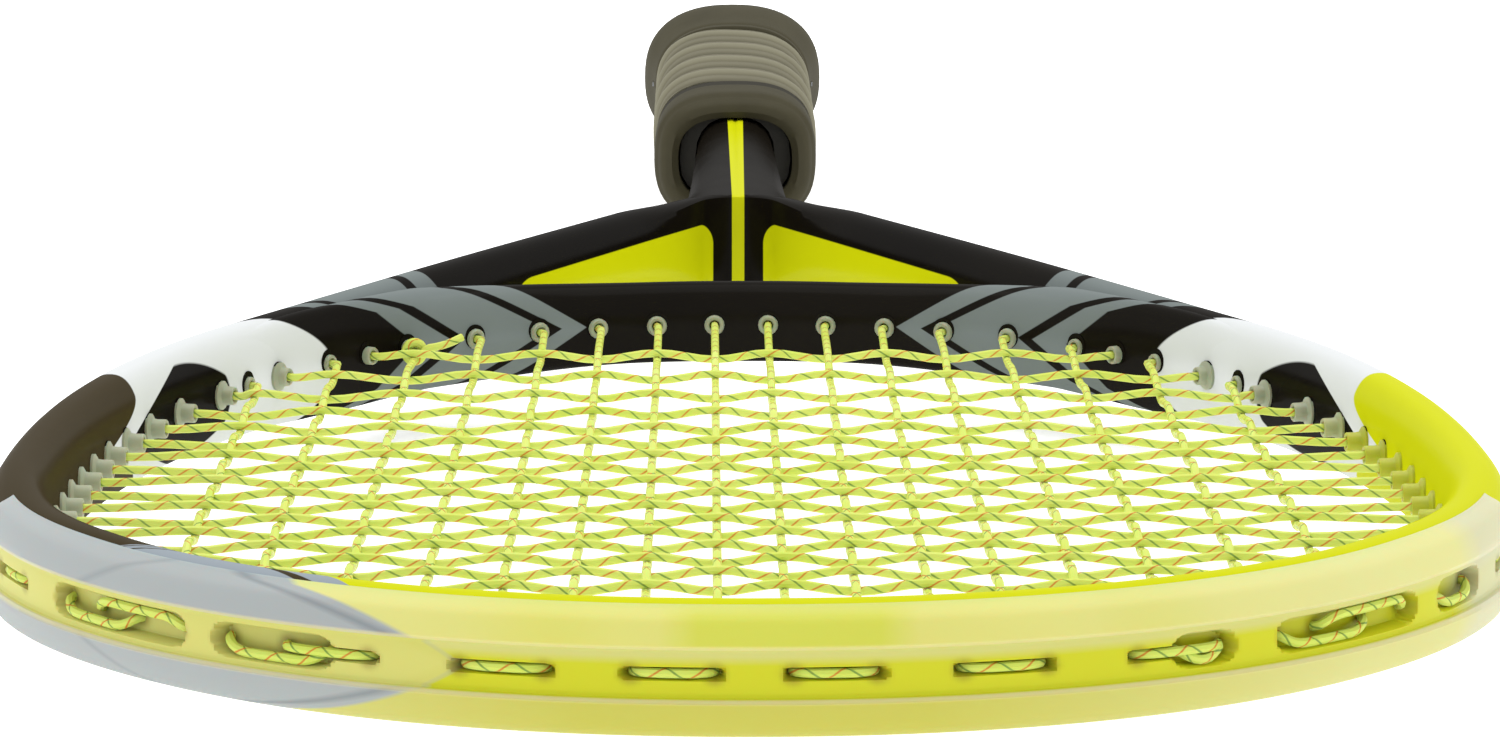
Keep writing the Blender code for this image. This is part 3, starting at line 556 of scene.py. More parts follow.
def string_holes():
    """Every hole, by (kind, number, side, end)."""
    widest = HEAD.s[int(np.argmax(HEAD.point[:, 0]))]
    holes = {}
    for side in (-1, 1):
        for number, x in enumerate(MAIN_X):
            holes["main", number, side, "tip"] = find_hole(
                0, x, (0.0, widest), side, lambda normal: 0.8)
            holes["main", number, side, "far"] = find_hole(
                0, x, (widest, HEAD.length), side, lambda normal: 0.8,
                in_bridge=number < BRIDGE_GROMMETS)
        for number, station in enumerate(CROSS_STATIONS):
            holes["cross", number, side, ""] = find_hole(
                1, station, (0.0, HEAD.length), side, lambda normal: 0.8 + 2.4 * normal[0] ** 6)
    return holes


# ---------------------------------------------------------------- string

def hop(first, second, lane, offset):
    """Points out of one hole, along the outside of the frame and to the mouth of the next."""
    if first.in_bridge:
        start = first.side * (HEAD.length - first.s)
        end = second.side * (HEAD.length - second.s)
        step = 1.1 if end > start else -1.1
        points = []
        for arc in (start, start + step, blend(start, end, 0.5), end - step, end):
            spot = HEAD.at(HEAD.length - abs(arc), BRIDGE_THICKNESS + 2.1)
            points.append(mirrored(1 if arc > 0 else -1, spot))
        return points
    toward = 1.0 if second.s > first.s else -1.0
    gap = abs(second.s - first.s)
    turn = min(2.4, gap / 3)
    stops = [(0.1, 0.0)] + [(step, 1.0) for step in np.arange(turn, gap - turn, 4.0)]
    stops += [(gap - turn, 1.0), (gap - 0.1, 0.0)]
    points = []
    for step, share in stops:
        spot = HOOP.at(first.s + toward * step, offset - 0.9 * (1 - share))
        points.append(mirrored(first.side, spot, lane * share))
    return points


def loop_offset(first, second):
    """Loops under the bumper stand a little prouder than those in the open groove."""
    under = max(first.wall[1], second.wall[1]) < BUMPER_END_STATION
    return LOOP_OFFSET if under else BAND_TOP + 0.95


def outside_run(first, second, lane=0.0):
    """From the bed through one hole, round the outside and back through the next."""
    rough = [first.bend, first.point(2.0), first.point(max(first.out - 1.8, 3.0))]
    rough += hop(first, second, lane, loop_offset(first, second))
    rough += [second.point(max(second.out - 1.8, 3.0)), second.point(2.0), second.bend]
    return rounded(rough, 0.8)


def woven(stops, heights, steps=4):
    """(distance, z) pairs that swing smoothly from one crossing to the next."""
    pairs = [(stops[0], heights[0])]
    for k in range(len(stops) - 1):
        for step in range(1, steps + 1):
            share = step / steps
            swing = (1 - cos(pi * share)) / 2
            pairs.append((blend(stops[k], stops[k + 1], share),
                          blend(heights[k], heights[k + 1], swing)))
    return pairs


def over(main, side, cross):
    """+1 where a cross passes over this main and -1 where it passes under."""
    order = main if side > 0 else -main - 1
    return 1 if (order + cross) % 2 == 0 else -1


def main_run(holes, number, side, toward_far):
    tip = holes["main", number, side, "tip"].bend
    far = holes["main", number, side, "far"].bend
    crossed = [k for k in range(len(CROSS_STATIONS) - 1, -1, -1)
               if tip[1] + 1 < CROSS_STATIONS[k] < far[1] - 1]
    stops = [tip[1]] + [CROSS_STATIONS[k] for k in crossed] + [far[1]]
    heights = [0.0] + [-MAIN_WEAVE * over(number, side, k) for k in crossed] + [0.0]
    pairs = woven(stops, heights)[1:-1]
    run = [(tip[0], station, z) for station, z in pairs]
    return run if toward_far else run[::-1]


def cross_run(holes, number, from_side):
    left = holes["cross", number, -1, ""].bend
    right = holes["cross", number, 1, ""].bend
    crossed = []
    for main, x in enumerate(MAIN_X):
        for side in (-1, 1):
            tip = holes["main", main, side, "tip"].bend[1]
            far = holes["main", main, side, "far"].bend[1]
            if tip < left[1] < far and x < right[0] - 0.3:
                crossed.append((side * x, CROSS_WEAVE * over(main, side, number)))
    crossed.sort()
    stops = [left[0]] + [x for x, _ in crossed] + [right[0]]
    heights = [0.0] + [z for _, z in crossed] + [0.0]
    run = [(x, left[1], z) for x, z in woven(stops, heights)[1:-1]]
    return run if from_side < 0 else run[::-1]


def string_path(holes):
    """The one string: all mains from left to right, then all crosses, knot to knot."""
    last = len(MAIN_X) - 1
    order = [(number, -1) for number in range(last, -1, -1)]
    order += [(number, 1) for number in range(last + 1)]
    knot = holes["main", TIE_OFF_MAIN, -1, "far"]
    path = [outside_run(knot, holes["main", last, -1, "far"], lane=-LANE_SPREAD)[4:]]
    toward_far = False
    for step, (number, side) in enumerate(order):
        path.append(main_run(holes, number, side, toward_far))
        end = "far" if toward_far else "tip"
        if step + 1 < len(order):
            after, after_side = order[step + 1]
            shared = end == "tip" and max(number, after) == last
            path.append(outside_run(holes["main", number, side, end],
                                    holes["main", after, after_side, end],
                                    lane=LANE_SPREAD if shared or end == "far" else 0.0))
        toward_far = not toward_far
    path.append(outside_run(holes["main", last, 1, "far"], holes["cross", 0, 1, ""]))
    side = 1
    for number in range(len(CROSS_STATIONS)):
        path.append(cross_run(holes, number, side))
        side = -side
        if number + 1 < len(CROSS_STATIONS):
            crowded = number + 1 >= len(CROSS_STATIONS) - 4
            path.append(outside_run(holes["cross", number, side, ""],
                                    holes["cross", number + 1, side, ""],
                                    lane=-LANE_SPREAD if crowded else 0.0))
    knot = holes["main", TIE_OFF_MAIN, 1, "tip"]
    path.append(outside_run(holes["cross", len(CROSS_STATIONS) - 1, 1, ""], knot,
                            lane=-LANE_SPREAD)[:-4])
    return np.concatenate([np.asarray(part, float) for part in path])


def knot_path(hole, toward, turns):
    """Hitches round a main beside its hole, then the cut tail standing clear of the bed."""
    x, start = hole.bend[0], hole.bend[1] + toward * 1.0
    turn_radius = 2 * STRING_RADIUS + 0.25
    pitch = 2 * STRING_RADIUS + 0.1
    steps = int(16 * turns)
    points = []
    for k in range(steps + 1):
        angle = -pi / 2 + 2 * pi * turns * k / steps
        points.append((x + turn_radius * cos(angle), start + toward * pitch * turns * k / steps,
                       turn_radius * sin(angle)))
    end = points[-1]
    tail = [(0.6, 0.0, 0.8), (2.4, 0.4, 1.0), (4.4, 1.2, 1.5), (6.4, 2.4, 2.3)]
    away = 1 if end[0] > x else -1
    points += [(end[0] + away * out, end[1] - toward * back, end[2] + up) for out, back, up in tail]
    return rounded(points, 0.4, passes=1)


# ---------------------------------------------------------------- bumper and grommets

def tip_slots(holes):
    """Slots over the bumper's string loops as (signed arc from, to, half height)."""
    slots = []
    last = len(MAIN_X) - 1
    for side in (-1, 1):
        for number in range(0, last, 2):
            pair = [holes["main", number + k, side, "tip"].s for k in (0, 1)]
            slots.append((side * pair[0], side * pair[1],
                          DOUBLE_SLOT if number + 1 == last else SINGLE_SLOT))
        first = 14 if side < 0 else 13
        for number in range(first, len(CROSS_STATIONS) - 1, 2):
            pair = [holes["cross", number + k, side, ""].s for k in (0, 1)]
            slots.append((side * pair[1], side * pair[0],
                          DOUBLE_SLOT if number > 14 else SINGLE_SLOT))
    slots.append((holes["cross", len(CROSS_STATIONS) - 1, 1, ""].s,
                  holes["main", TIE_OFF_MAIN, 1, "tip"].s, DOUBLE_SLOT))
    return [(min(a, b), max(a, b), height) for a, b, height in slots]


def slot_depth(slots, arc, z):
    """How deep the channel's floor is at a point, from 0 to 1, and the painted shade near a slot's
    end, where its hole lies.
    """
    deep, hole_shade = 0.0, 0.0
    for low, high, height in slots:
        middle, reach = (low + high) / 2, (high - low) / 2 + 1.2
        if abs(arc - middle) > reach + 6:
            continue
        beyond = max(abs(arc - middle) - (reach - height), 0.0)
        inside = sqrt(beyond * beyond + z * z) - height
        deep = max(deep, 1 - smooth_step(inside, -0.45, 0.05))
        for end in (low, high):
            hole_shade = max(hole_shade, 1 - smooth_step(sqrt((arc - end) ** 2 + z * z), 0.5, 2.1))
    return deep, hole_shade


def bumper_shape(slots, end_s):
    """Two bulging lips and the slotted channel between them, with rounded ends."""
    full_s = end_s - BUMPER_ROUNDING
    arcs = np.concatenate([np.linspace(-end_s, -full_s, 15)[:-1],
                           np.arange(-full_s, full_s, 0.6),
                           np.linspace(full_s, end_s, 15)])
    channel = list(np.arange(0.0, 2.95, 0.3))
    rings, uvs, hole_shades = [], [], []
    for arc in arcs:
        s, side = abs(arc), (1 if arc > 0 else -1)
        inner, _, half_depth, _ = frame_station(s)
        normal = HOOP.normal_at(s)
        ending = sqrt(max(1 - max(s - full_s, 0) ** 2 / (BUMPER_ROUNDING ** 2 + 1.0), 0.0))
        thickness = BUMPER_THICKNESS * ending
        crown = (BUMPER_CROWN - tip_rise(inner[1])) * ending
        middle = TUBE_WIDTH / 2

        def shell(degrees, extra, lift):
            c, rise = power_point(radians(degrees), TUBE_POWER)
            return middle + (middle + extra) * c, (half_depth + lift) * rise

        def half(lip_end, fade):
            """Outline from the lip's edge to the channel's middle: points, girth, painted hole
            shade.
            """
            points, shade = [], []
            for z in channel:
                deep, hole_shade = slot_depth(slots, arc, z)
                points.append((blend(TUBE_WIDTH + 0.6 * ending, BAND_TOP, deep), z))
                shade.append(hole_shade)
            rim = shell(19.0, thickness, crown)
            points += [(TUBE_WIDTH + 0.8 * ending, CHANNEL_EDGE - 0.2),
                       (blend(TUBE_WIDTH, rim[0], 0.8), CHANNEL_EDGE)]
            for angle in np.linspace(20.0, lip_end - 1.5, 13):
                left_over = 1 - fade * smooth_step(angle, 44.0, lip_end - 3.0)
                points.append(shell(angle, thickness * left_over, crown * left_over))
            points += [shell(lip_end - 0.5, thickness * 0.12, crown * 0.12),
                       shell(lip_end, 0.04, 0.04)]
            points += [shell(angle, 0.03, 0.03) for angle in (64, 56, 47, 38, 28)]
            points += [(TUBE_WIDTH - 0.1, BAND_HALF_HEIGHT + 0.2), (BAND_FLOOR, BAND_HALF_HEIGHT)]
            shade += [0.0] * (len(points) - len(shade))
            points, shade = points[::-1], shade[::-1]
            round_tube = girths(points)
            rim_girth = round_tube[-len(channel) - 2]
            girth = [z if z < channel[-1] + 0.2 else value - rim_girth + CHANNEL_EDGE
                     for (_, z), value in zip(points, round_tube)]
            return points, girth, shade

        upper, upper_girth, upper_shade = half(UPPER_LIP_END, 0.75)
        lower, lower_girth, lower_shade = half(LOWER_LIP_END, 0.2)
        profile = upper + [(offset, -z) for offset, z in lower[-2::-1]]
        girth = upper_girth + lower_girth[-2::-1]
        shade = upper_shade + lower_shade[-2::-1]
        rings.append([mirrored(side, inner + normal * offset, z) for offset, z in profile])
        uvs.append([(s, value) for value in girth + girth[:1]])
        hole_shades += shade
    return outwards(skin(rings, uvs)), hole_shades


def strip_shape(start, end, side):
    """The thin band of a grommet strip in the frame's groove."""
    edge = BAND_HALF_HEIGHT - 0.1
    profile = [(BAND_FLOOR, -edge), (BAND_TOP - 0.15, -edge), (BAND_TOP, -edge + 0.2),
               (BAND_TOP, edge - 0.2), (BAND_TOP - 0.15, edge), (BAND_FLOOR, edge)]
    rings, uvs = [], []
    for s in np.linspace(start, end, 110):
        inner, normal = HOOP.at(s), HOOP.normal_at(s)
        rings.append([mirrored(side, inner + normal * offset, z) for offset, z in profile])
        uvs.append([(s, z) for _, z in profile] + [(s, profile[0][1])])
    return outwards(skin(rings, uvs))


def barrel(hole, flared):
    """A moulded string barrel: tube through the wall, rounded mouth, sometimes a flared root."""
    mouth = -hole.protrusion
    end = hole.out - 1.3
    root = 2.35 if flared else BARREL_RADIUS
    profile = [(end, BARREL_RADIUS), (0.6, BARREL_RADIUS)]
    if hole.protrusion > LONG_BARREL:
        profile += [(0.1, root), (-0.35, root), (-0.8, 1.6), (-1.4, BARREL_RADIUS)]
    profile += [(mouth + 0.25, BARREL_RADIUS), (mouth + 0.05, 1.38), (mouth, 1.2),
                (mouth + 0.1, 0.95), (mouth + 0.4, BORE_RADIUS), (end, BORE_RADIUS)]
    return revolve(profile, hole.point)


def well(hole):
    """A black ring round a hole's barrel, painted shade for the inside of the drilled hole, and
    whether it is in the bridge.
    """
    def line(distance):
        x, station, _ = hole.point(distance)
        return x, station, WELL_RAISE
    in_bridge = hole.in_bridge or hole.wall[1] > BRIDGE_PAINT_STATION
    points, faces, corners = revolve([(1.0, 0.9), (1.0, HOLE_RADIUS), (-0.13, HOLE_RADIUS),
                                      (-0.13, 0.9)], line, 24)
    return (points, faces, [(HOLE_SHADE_MARK, 0.0)] * len(corners)), in_bridge


def bridge_grommet(hole):
    flange = BRIDGE_THICKNESS + 0.1
    mouth = -hole.protrusion
    profile = [(flange, 1.75), (0.2, 1.75), (mouth + 0.3, 1.7), (mouth, 1.45),
               (mouth + 0.05, 1.0), (mouth + 0.4, BORE_RADIUS), (flange + 0.7, BORE_RADIUS),
               (flange + 0.8, 1.2), (flange + 0.7, 2.3), (flange + 0.3, 2.6), (flange, 2.5)]
    return revolve(profile, hole.point)


# ---------------------------------------------------------------- handle

def grip_radius(angle, half_width, half_depth):
    c, s = abs(cos(angle)), abs(sin(angle))
    return ((c / half_width) ** GRIP_POWER + (s / half_depth) ** GRIP_POWER) ** (-1 / GRIP_POWER)


def wrap_height(station, angle):
    """Rise of the spiral tape: a seam where its edges meet and a rib along its middle."""
    phase = (station / WRAP_PITCH - angle / (2 * pi)) % 1.0
    seam = min(phase, 1 - phase) * WRAP_PITCH
    rib = abs(phase - 0.5) * WRAP_PITCH
    return (-SEAM_DROP * (1 - smooth_step(seam, 0.3, 3.4))
            + RIB_RISE * (1 - smooth_step(rib, 0.6, 2.6))
            - 0.35 * (1 - smooth_step(abs(rib - 3.4), 0.0, 1.6)))


def turned(sections, sides):
    """Loop of rings round the handle from (station, half width, half depth, rise) rows."""
    rings, uvs = [], []
    for station, half_width, half_depth, rise in sections:
        ring = []
        for k in range(sides):
            angle = 2 * pi * k / sides
            radius = grip_radius(angle, half_width, half_depth)
            radius += rise(station, angle) if callable(rise) else rise
            ring.append((radius * cos(angle), station, radius * sin(angle)))
        rings.append(ring)
        uvs.append([(station, 360.0 * k / sides) for k in range(sides + 1)])
    return outwards(skin(rings, uvs, loop=True))


def wrap_shape():
    """The wrapped tape, and how high each of its points stands from seam (0) to rib (1)."""
    rows = [(station, GRIP_HALF_WIDTH - 0.15, GRIP_HALF_DEPTH - 0.15, wrap_height)
            for station in np.arange(TAPE_END + 0.3, WRAP_END, 0.8)]
    thin = WRAP_THICKNESS
    rows += [(station, GRIP_HALF_WIDTH - thin, GRIP_HALF_DEPTH - thin, 0.0)
             for station in (WRAP_END, TAPE_END + 0.3)]
    rises = [(rise(station, 2 * pi * k / WRAP_SIDES) + SEAM_DROP) / 1.6
             if callable(rise) else 0.0
             for station, _, _, rise in rows for k in range(WRAP_SIDES)]
    return turned(rows, WRAP_SIDES), rises


def sleeve(profile):
    """Ring round the handle from (station, shrink) pairs, outer side first."""
    return turned([(station, GRIP_HALF_WIDTH - shrink, GRIP_HALF_DEPTH - shrink, 0.0)
                   for station, shrink in profile], HANDLE_SIDES)


def handle_oval(shrink, station):
    return oval(GRIP_HALF_WIDTH - shrink, GRIP_HALF_DEPTH - shrink, GRIP_POWER,
                HANDLE_SIDES, station)


def butt_shape():
    """Cup over the pallet's end, with a moulded bead in front and a shallow disc behind."""
    grow = BUTT_HALF_WIDTH - GRIP_HALF_WIDTH
    deepen = PLANE_HEIGHT - GRIP_HALF_DEPTH
    profile = [(WRAP_END + 0.3, 0.0), (WRAP_END + 0.6, 0.14), (WRAP_END + 3.4, 0.16),
               (WRAP_END + 3.8, 0.08), (WRAP_END + 4.2, 0.08), (WRAP_END + 4.6, 0.2),
               (662.0, 0.28), (665.0, 0.42), (668.0, 0.6), (671.0, 0.79), (674.0, 0.94),
               (677.0, 1.0), (680.0, 1.0), (682.5, 0.92), (684.0, 0.7), (684.8, 0.4),
               (LENGTH, 0.1), (LENGTH, -1.2), (684.4, -1.4), (684.4, -3.0)]
    stations = [681.0, WRAP_END + 0.3] + [station for station, _ in profile]
    rings = [handle_oval(WRAP_THICKNESS, station) for station in stations[:2]]
    rings += [oval(GRIP_HALF_WIDTH + grow * share, GRIP_HALF_DEPTH + deepen * share,
                   GRIP_POWER - 0.3, HANDLE_SIDES, station) for station, share in profile]
    uvs = [[(station, 360.0 * k / HANDLE_SIDES) for k in range(HANDLE_SIDES + 1)]
           for station in stations]
    return outwards(skin(rings, uvs))


# ---------------------------------------------------------------- shader arithmetic

class Value:
    """A number that varies over a surface. Arithmetic on it adds Math nodes to its tree."""

    def __init__(self, tree, socket):
        self.tree, self.socket = tree, socket

    def math(self, operation, *others):
        node = self.tree.nodes.new("ShaderNodeMath")
        node.operation = operation
        for entry, value in zip(node.inputs, (self,) + others):
            if isinstance(value, Value):
                self.tree.links.new(value.socket, entry)
            else:
                entry.default_value = value
        return Value(self.tree, node.outputs[0])

    def __add__(self, other):
        return self.math("ADD", other)

    def __sub__(self, other):
        return self.math("SUBTRACT", other)

    def __mul__(self, other):
        return self.math("MULTIPLY", other)

    def __neg__(self):
        return self.math("MULTIPLY", -1.0)

    def __abs__(self):
        return self.math("ABSOLUTE")

    def __and__(self, other):
        return self.math("MULTIPLY", other)

    def __or__(self, other):
        return self.math("MAXIMUM", other)

    def above(self, limit, blur=0.0):
        """1 where this is above limit, 0 below it, with a soft edge blur wide."""
        if blur == 0.0:
            return self.math("GREATER_THAN", limit)
        share = (self - limit).math("MULTIPLY", 1.0 / blur).math("ADD", 0.5)
        share.socket.node.use_clamp = True
        return share

    def below(self, limit, blur=0.0):
        if blur == 0.0:
            return self.math("LESS_THAN", limit)
        return self.above(limit, blur).math("SUBTRACT", 1.0) * -1.0

    def near(self, centre, half_width, blur=0.0):
        return abs(self - centre).below(half_width, blur)


def srgb(red, green, blue):
    """Surface colour that looks like these 0 to 255 screen values in this bright studio."""
    parts = [value / 255 for value in (red, green, blue)]
    return tuple(STUDIO_SHARE * (part / 12.92 if part <= 0.04045
                                 else ((part + 0.055) / 1.055) ** 2.4) for part in parts)


class Finish:
    """A node material with one Principled shader and easy access to surface values."""

    def __init__(self, name, colour, roughness, **more):
        self.material = bpy.data.materials.new(name)
        self.material.use_nodes = True
        self.tree = self.material.node_tree
        self.shader = self.tree.nodes["Principled BSDF"]
        self.shader.inputs["Base Color"].default_value = (*colour, 1.0)
        self.shader.inputs["Roughness"].default_value = roughness
        self.shader.inputs["Specular IOR Level"].default_value = 0.0
        for entry, value in more.items():
            self.shader.inputs[entry.replace("_", " ").title()].default_value = value
        self.colour = None
        self.base = colour

    def split(self, socket):
        node = self.tree.nodes.new("ShaderNodeSeparateXYZ")
        self.tree.links.new(socket, node.inputs[0])
        return [Value(self.tree, output) for output in node.outputs]

    def surface(self):
        """The mesh's own (u, v): arc and girth on the frame."""
        node = self.tree.nodes.new("ShaderNodeUVMap")
        node.uv_map = "surface"
        return self.split(node.outputs["UV"])[:2]

    def position(self):
        """(x, station, z) in millimetres."""
        node = self.tree.nodes.new("ShaderNodeTexCoord")
        x, y, z = self.split(node.outputs["Object"])
        return x * (1 / MM), y * (1 / MM) + LENGTH / 2, z * (1 / MM) - PLANE_HEIGHT

    def noise(self, scale, detail):
        """Cloudy value around 0.5, with scale features in a metre."""
        coordinates = self.tree.nodes.new("ShaderNodeTexCoord").outputs["Object"]
        node = self.tree.nodes.new("ShaderNodeTexNoise")
        node.inputs["Scale"].default_value = scale
        node.inputs["Detail"].default_value = detail
        self.tree.links.new(coordinates, node.inputs["Vector"])
        return Value(self.tree, node.outputs["Fac"])

    def attribute(self, name):
        """A value stored on the mesh's points under this name."""
        node = self.tree.nodes.new("ShaderNodeAttribute")
        node.attribute_name = name
        return Value(self.tree, node.outputs["Fac"])

    def cover(self, mask, colour, share=1.0):
        """Lays colour over what is there, where mask is 1."""
        node = self.tree.nodes.new("ShaderNodeMix")
        node.data_type = "RGBA"
        if share < 1:
            mask = mask * share
        self.tree.links.new(mask.socket, node.inputs["Factor"])
        if self.colour is None:
            node.inputs[6].default_value = (*self.base, 1.0)
        else:
            self.tree.links.new(self.colour, node.inputs[6])
        node.inputs[7].default_value = (*colour, 1.0)
        self.colour = node.outputs[2]
        self.tree.links.new(self.colour, self.shader.inputs["Base Color"])

    def vary(self, entry, value):
        self.tree.links.new(value.socket, self.shader.inputs[entry])

    def bump(self, height, distance, strength):
        """Surface relief, height counted from 0 to 1 over distance in metres."""
        node = self.tree.nodes.new("ShaderNodeBump")
        node.inputs["Distance"].default_value = distance
        node.inputs["Strength"].default_value = strength
        self.tree.links.new(height.socket, node.inputs["Height"])
        self.tree.links.new(node.outputs["Normal"], self.shader.inputs["Normal"])


# ---------------------------------------------------------------- finishes

YELLOW = srgb(220, 224, 12)
BLACK = srgb(17, 14, 10)
OLIVE = srgb(66, 56, 34)
WHITE = srgb(238, 241, 242)
GREY = srgb(128, 137, 136)
BLUE_GREY = srgb(160, 170, 178)
# arc given to the rings of painted hole shade, which the paint turns black
HOLE_SHADE_MARK = -100.0


def bent(start, slope, knee, steeper, reach):
    """Border |x| against the distance round the tube, with another slope past the knee."""
    near = reach.math("MINIMUM", knee) * slope
    return near + beyond(reach, knee) * steeper + start


def square(value):
    return value * value


def beyond(value, limit):
    """How far value is past limit, or 0."""
    return (value - limit).math("MAXIMUM", 0.0)


def side_zones(arc, round_centre, x):
    """Masks of the far white zone, the black drop in it, and what lies nearer the tip."""
    nose = square((-round_centre + 7.0).math("MAXIMUM", 0.0)) * -0.56 + 231.0
    tipward = (arc - nose).below(0.0, 0.4)
    white_end = square(round_centre) * 0.085 + 67.3
    white = (abs(x) - white_end).above(0.0, 0.3)
    drop_near = beyond(round_centre, 0.8) * 3.4 + 227.0
    drop_top = square(arc - 252.0) * -0.012 + 8.3
    drop = (arc - drop_near).above(0.0, 0.5) & (round_centre - drop_top).below(0.0, 0.4)
    drop = drop & (arc + square(round_centre) * 0.1).below(272.7, 0.5)
    return white, drop & white, tipward


def chevrons(x, reach):
    """Grey chevron field on the junction of frame and bridge, crossed by two stripes."""
    across = abs(x)
    field = (across - bent(26.3, 1.55, 11.0, 0.85, reach)).above(0.0, 0.25)
    field = field & (across - bent(54.2, 1.0, 6.5, 2.2, reach)).below(0.0, 0.25)
    first = (across - bent(31.6, 1.7, 10.5, 0.8, reach)).near(0.0, 1.15, 0.25)
    second = (across - bent(47.6, 1.3, 6.5, 2.2, reach)).near(0.0, 1.15, 0.25)
    return field & ((first | second) * -1.0 + 1.0)


def paint(name, on_frame):
    """Frame or bridge lacquer: coloured zones over black, with faint mottling."""
    made = Finish(name, BLACK, 0.3, coat_weight=0.09, coat_roughness=0.2)
    x, station, z = made.position()
    arc, girth = made.surface()
    left = x.below(0.0)
    right = x.above(0.0)
    centred = abs(girth + 0.9)
    reach = abs(girth - 0.3)
    if on_frame:
        reach = reach + square(beyond(arc, SHOULDER_START)) * 0.0032
    made.cover(chevrons(x, reach), GREY)
    white, drop, tipward = side_zones(arc, centred, x)
    made.cover(white, WHITE)
    made.cover(drop, BLACK)
    if on_frame:
        made.cover(tipward & right, YELLOW)
        made.cover(tipward & left, OLIVE)
        outer = -abs(girth) + 22.0
        tip_zone = outer * 1.77 + 34.5 - arc
        made.cover((outer * -1.6 + 105.0 - arc).above(0.0, 0.3) & left, BLUE_GREY)
        for slope, start, half_width, blur in (
                (2.5, 34.5, 1.4, 0.3), (-2.1, 107.0, 0.35, 0.2), (-2.1, 109.0, 0.25, 0.2)):
            line = (outer * slope + start - arc).near(0.0, half_width, blur)
            made.cover(line & left, OLIVE)
        made.cover(tip_zone.above(0.0, 0.3) & left, YELLOW)
        corner = square((arc - 388.0).math("MINIMUM", 0.0) * 0.5)
        corner = corner + square(beyond(arc, 461.5))
        edge = square((z + 0.5).math("MAXIMUM", 0.0)) + corner
        panel = edge.below(3.9 * 3.9, 1.5) & z.above(-8.3) & abs(girth).below(8.6)
        made.cover(panel & arc.above(380.0) & arc.below(467.0), YELLOW)
        stripe_width = (station - APEX_STATION) * 0.0035 + 1.15
        stripe = (abs(x) - stripe_width).below(0.0, 0.1) & station.above(APEX_STATION - 0.6)
        made.cover(stripe, YELLOW)
    # painted shade: the rings round the barrels are black for the shade inside the drilled holes
    made.cover(arc.below(HOLE_SHADE_MARK / 2), BLACK)
    mottle = made.noise(9.0, 4.0)
    made.cover(mottle.above(0.55, 0.3), srgb(120, 110, 90), 0.03)
    made.vary("Coat Roughness", made.noise(160.0, 3.0) * 0.12 + 0.14)
    made.bump(made.noise(300.0, 2.0), 0.00001, 0.05)
    return made.material


def frosted(name, tint, clear):
    """Translucent plastic: soft scattering body with a satin skin."""
    made = Finish(name, tint, 0.4, subsurface_weight=0.25, subsurface_scale=0.002,
                  coat_weight=0.3, coat_roughness=0.3)
    made.shader.inputs["Transmission Weight"].default_value = clear
    made.cover(made.noise(35.0, 3.0).above(0.5, 0.5), tuple(part * 0.9 for part in tint), 0.35)
    made.vary("Roughness", made.noise(220.0, 3.0) * 0.15 + 0.33)
    made.bump(made.noise(900.0, 2.0), 0.00004, 0.5)
    return made


def bumper_finish():
    """Frosted guard over the painted tip: the paint shows through as softened colour, with painted
    shade on the lower lip and by the slots' ends and a painted highlight along the channel's edges.
    """
    made = frosted("bumper_plastic", srgb(232, 229, 128), 0.0)
    x, _, z = made.position()
    arc, outer = made.surface()
    left = x.below(0.0)
    # painted shade: the lower lip, below the string plane, is darker as if lit from above
    made.cover(z.below(0.0, 3.0), srgb(208, 204, 92))
    clouds = made.noise(14.0, 2.0).above(0.56, 0.12) & z.above(3.0, 2.0)
    made.cover(clouds, srgb(222, 222, 60), 0.6)
    made.cover(arc.above(50.0, 60.0), srgb(236, 234, 176), 0.5)
    patch = abs(x - 4.5).below(14.0, 5.0) & z.above(3.5, 1.0) & z.below(8.0, 1.5)
    made.cover(patch, srgb(212, 220, 44), 0.6)
    channel = outer.below(3.1, 0.3)
    made.cover(channel, srgb(218, 219, 36))
    made.cover(channel & z.above(1.7, 1.2), srgb(226, 222, 150), 0.75)
    border = outer * 1.2 + square(outer.math("MINIMUM", 9.5)) * 0.13 + 34.5 - arc
    grey = border.below(0.0, 1.5) & left
    made.cover(grey, srgb(178, 184, 184))
    made.cover((border + outer * 0.75).near(0.0, 1.5, 2.5) & grey, srgb(128, 136, 142), 0.6)
    made.cover((outer * -2.1 + 101.0 - arc).near(0.0, 0.9, 2.0) & left, srgb(128, 136, 142), 0.35)
    made.cover(channel & grey, srgb(230, 226, 104), 0.85)
    # painted highlight: a pale line along both lips' edges beside the channel
    made.cover(outer.near(3.4, 0.35, 0.5), srgb(232, 226, 168), 0.7)
    made.cover(arc.above(108.0, 8.0) & x.above(0.0), srgb(216, 214, 186), 0.7)
    # painted shade: dark brown at the ends of the slots, where the string goes into its hole
    made.cover(made.attribute("hole_shade"), srgb(128, 106, 44), 0.6)
    return made.material


def string_finish():
    """Yellow-green gut with a red and a green thread wound opposite ways round it."""
    made = Finish("string_gut", srgb(230, 244, 124), 0.32, coat_weight=0.2,
                  subsurface_weight=0.2, subsurface_scale=0.001)
    run, turn = made.surface()
    made.cover(made.noise(60.0, 2.0).above(0.5, 0.4), srgb(204, 228, 64), 0.5)
    red = (run * (1 / THREAD_PITCH) + turn).math("FRACT")
    green = (run * (-1 / THREAD_PITCH) + turn).math("FRACT")
    made.cover(green.near(0.5, 0.042, 0.03), srgb(60, 120, 60), 0.7)
    made.cover(red.near(0.5, 0.038, 0.03), srgb(220, 80, 15), 0.75)
    made.vary("Roughness", made.noise(300.0, 2.0) * 0.15 + 0.25)
    return made.material


def grommet_finish():
    """Milky nylon that picks up the yellow-green of the string and the paint round it."""
    made = frosted("grommet_plastic", srgb(220, 228, 188), 0.5)
    x, station, _ = made.position()
    made.cover(station.below(186.0, 14.0) & x.above(0.0), srgb(240, 246, 40), 1.0)
    return made.material


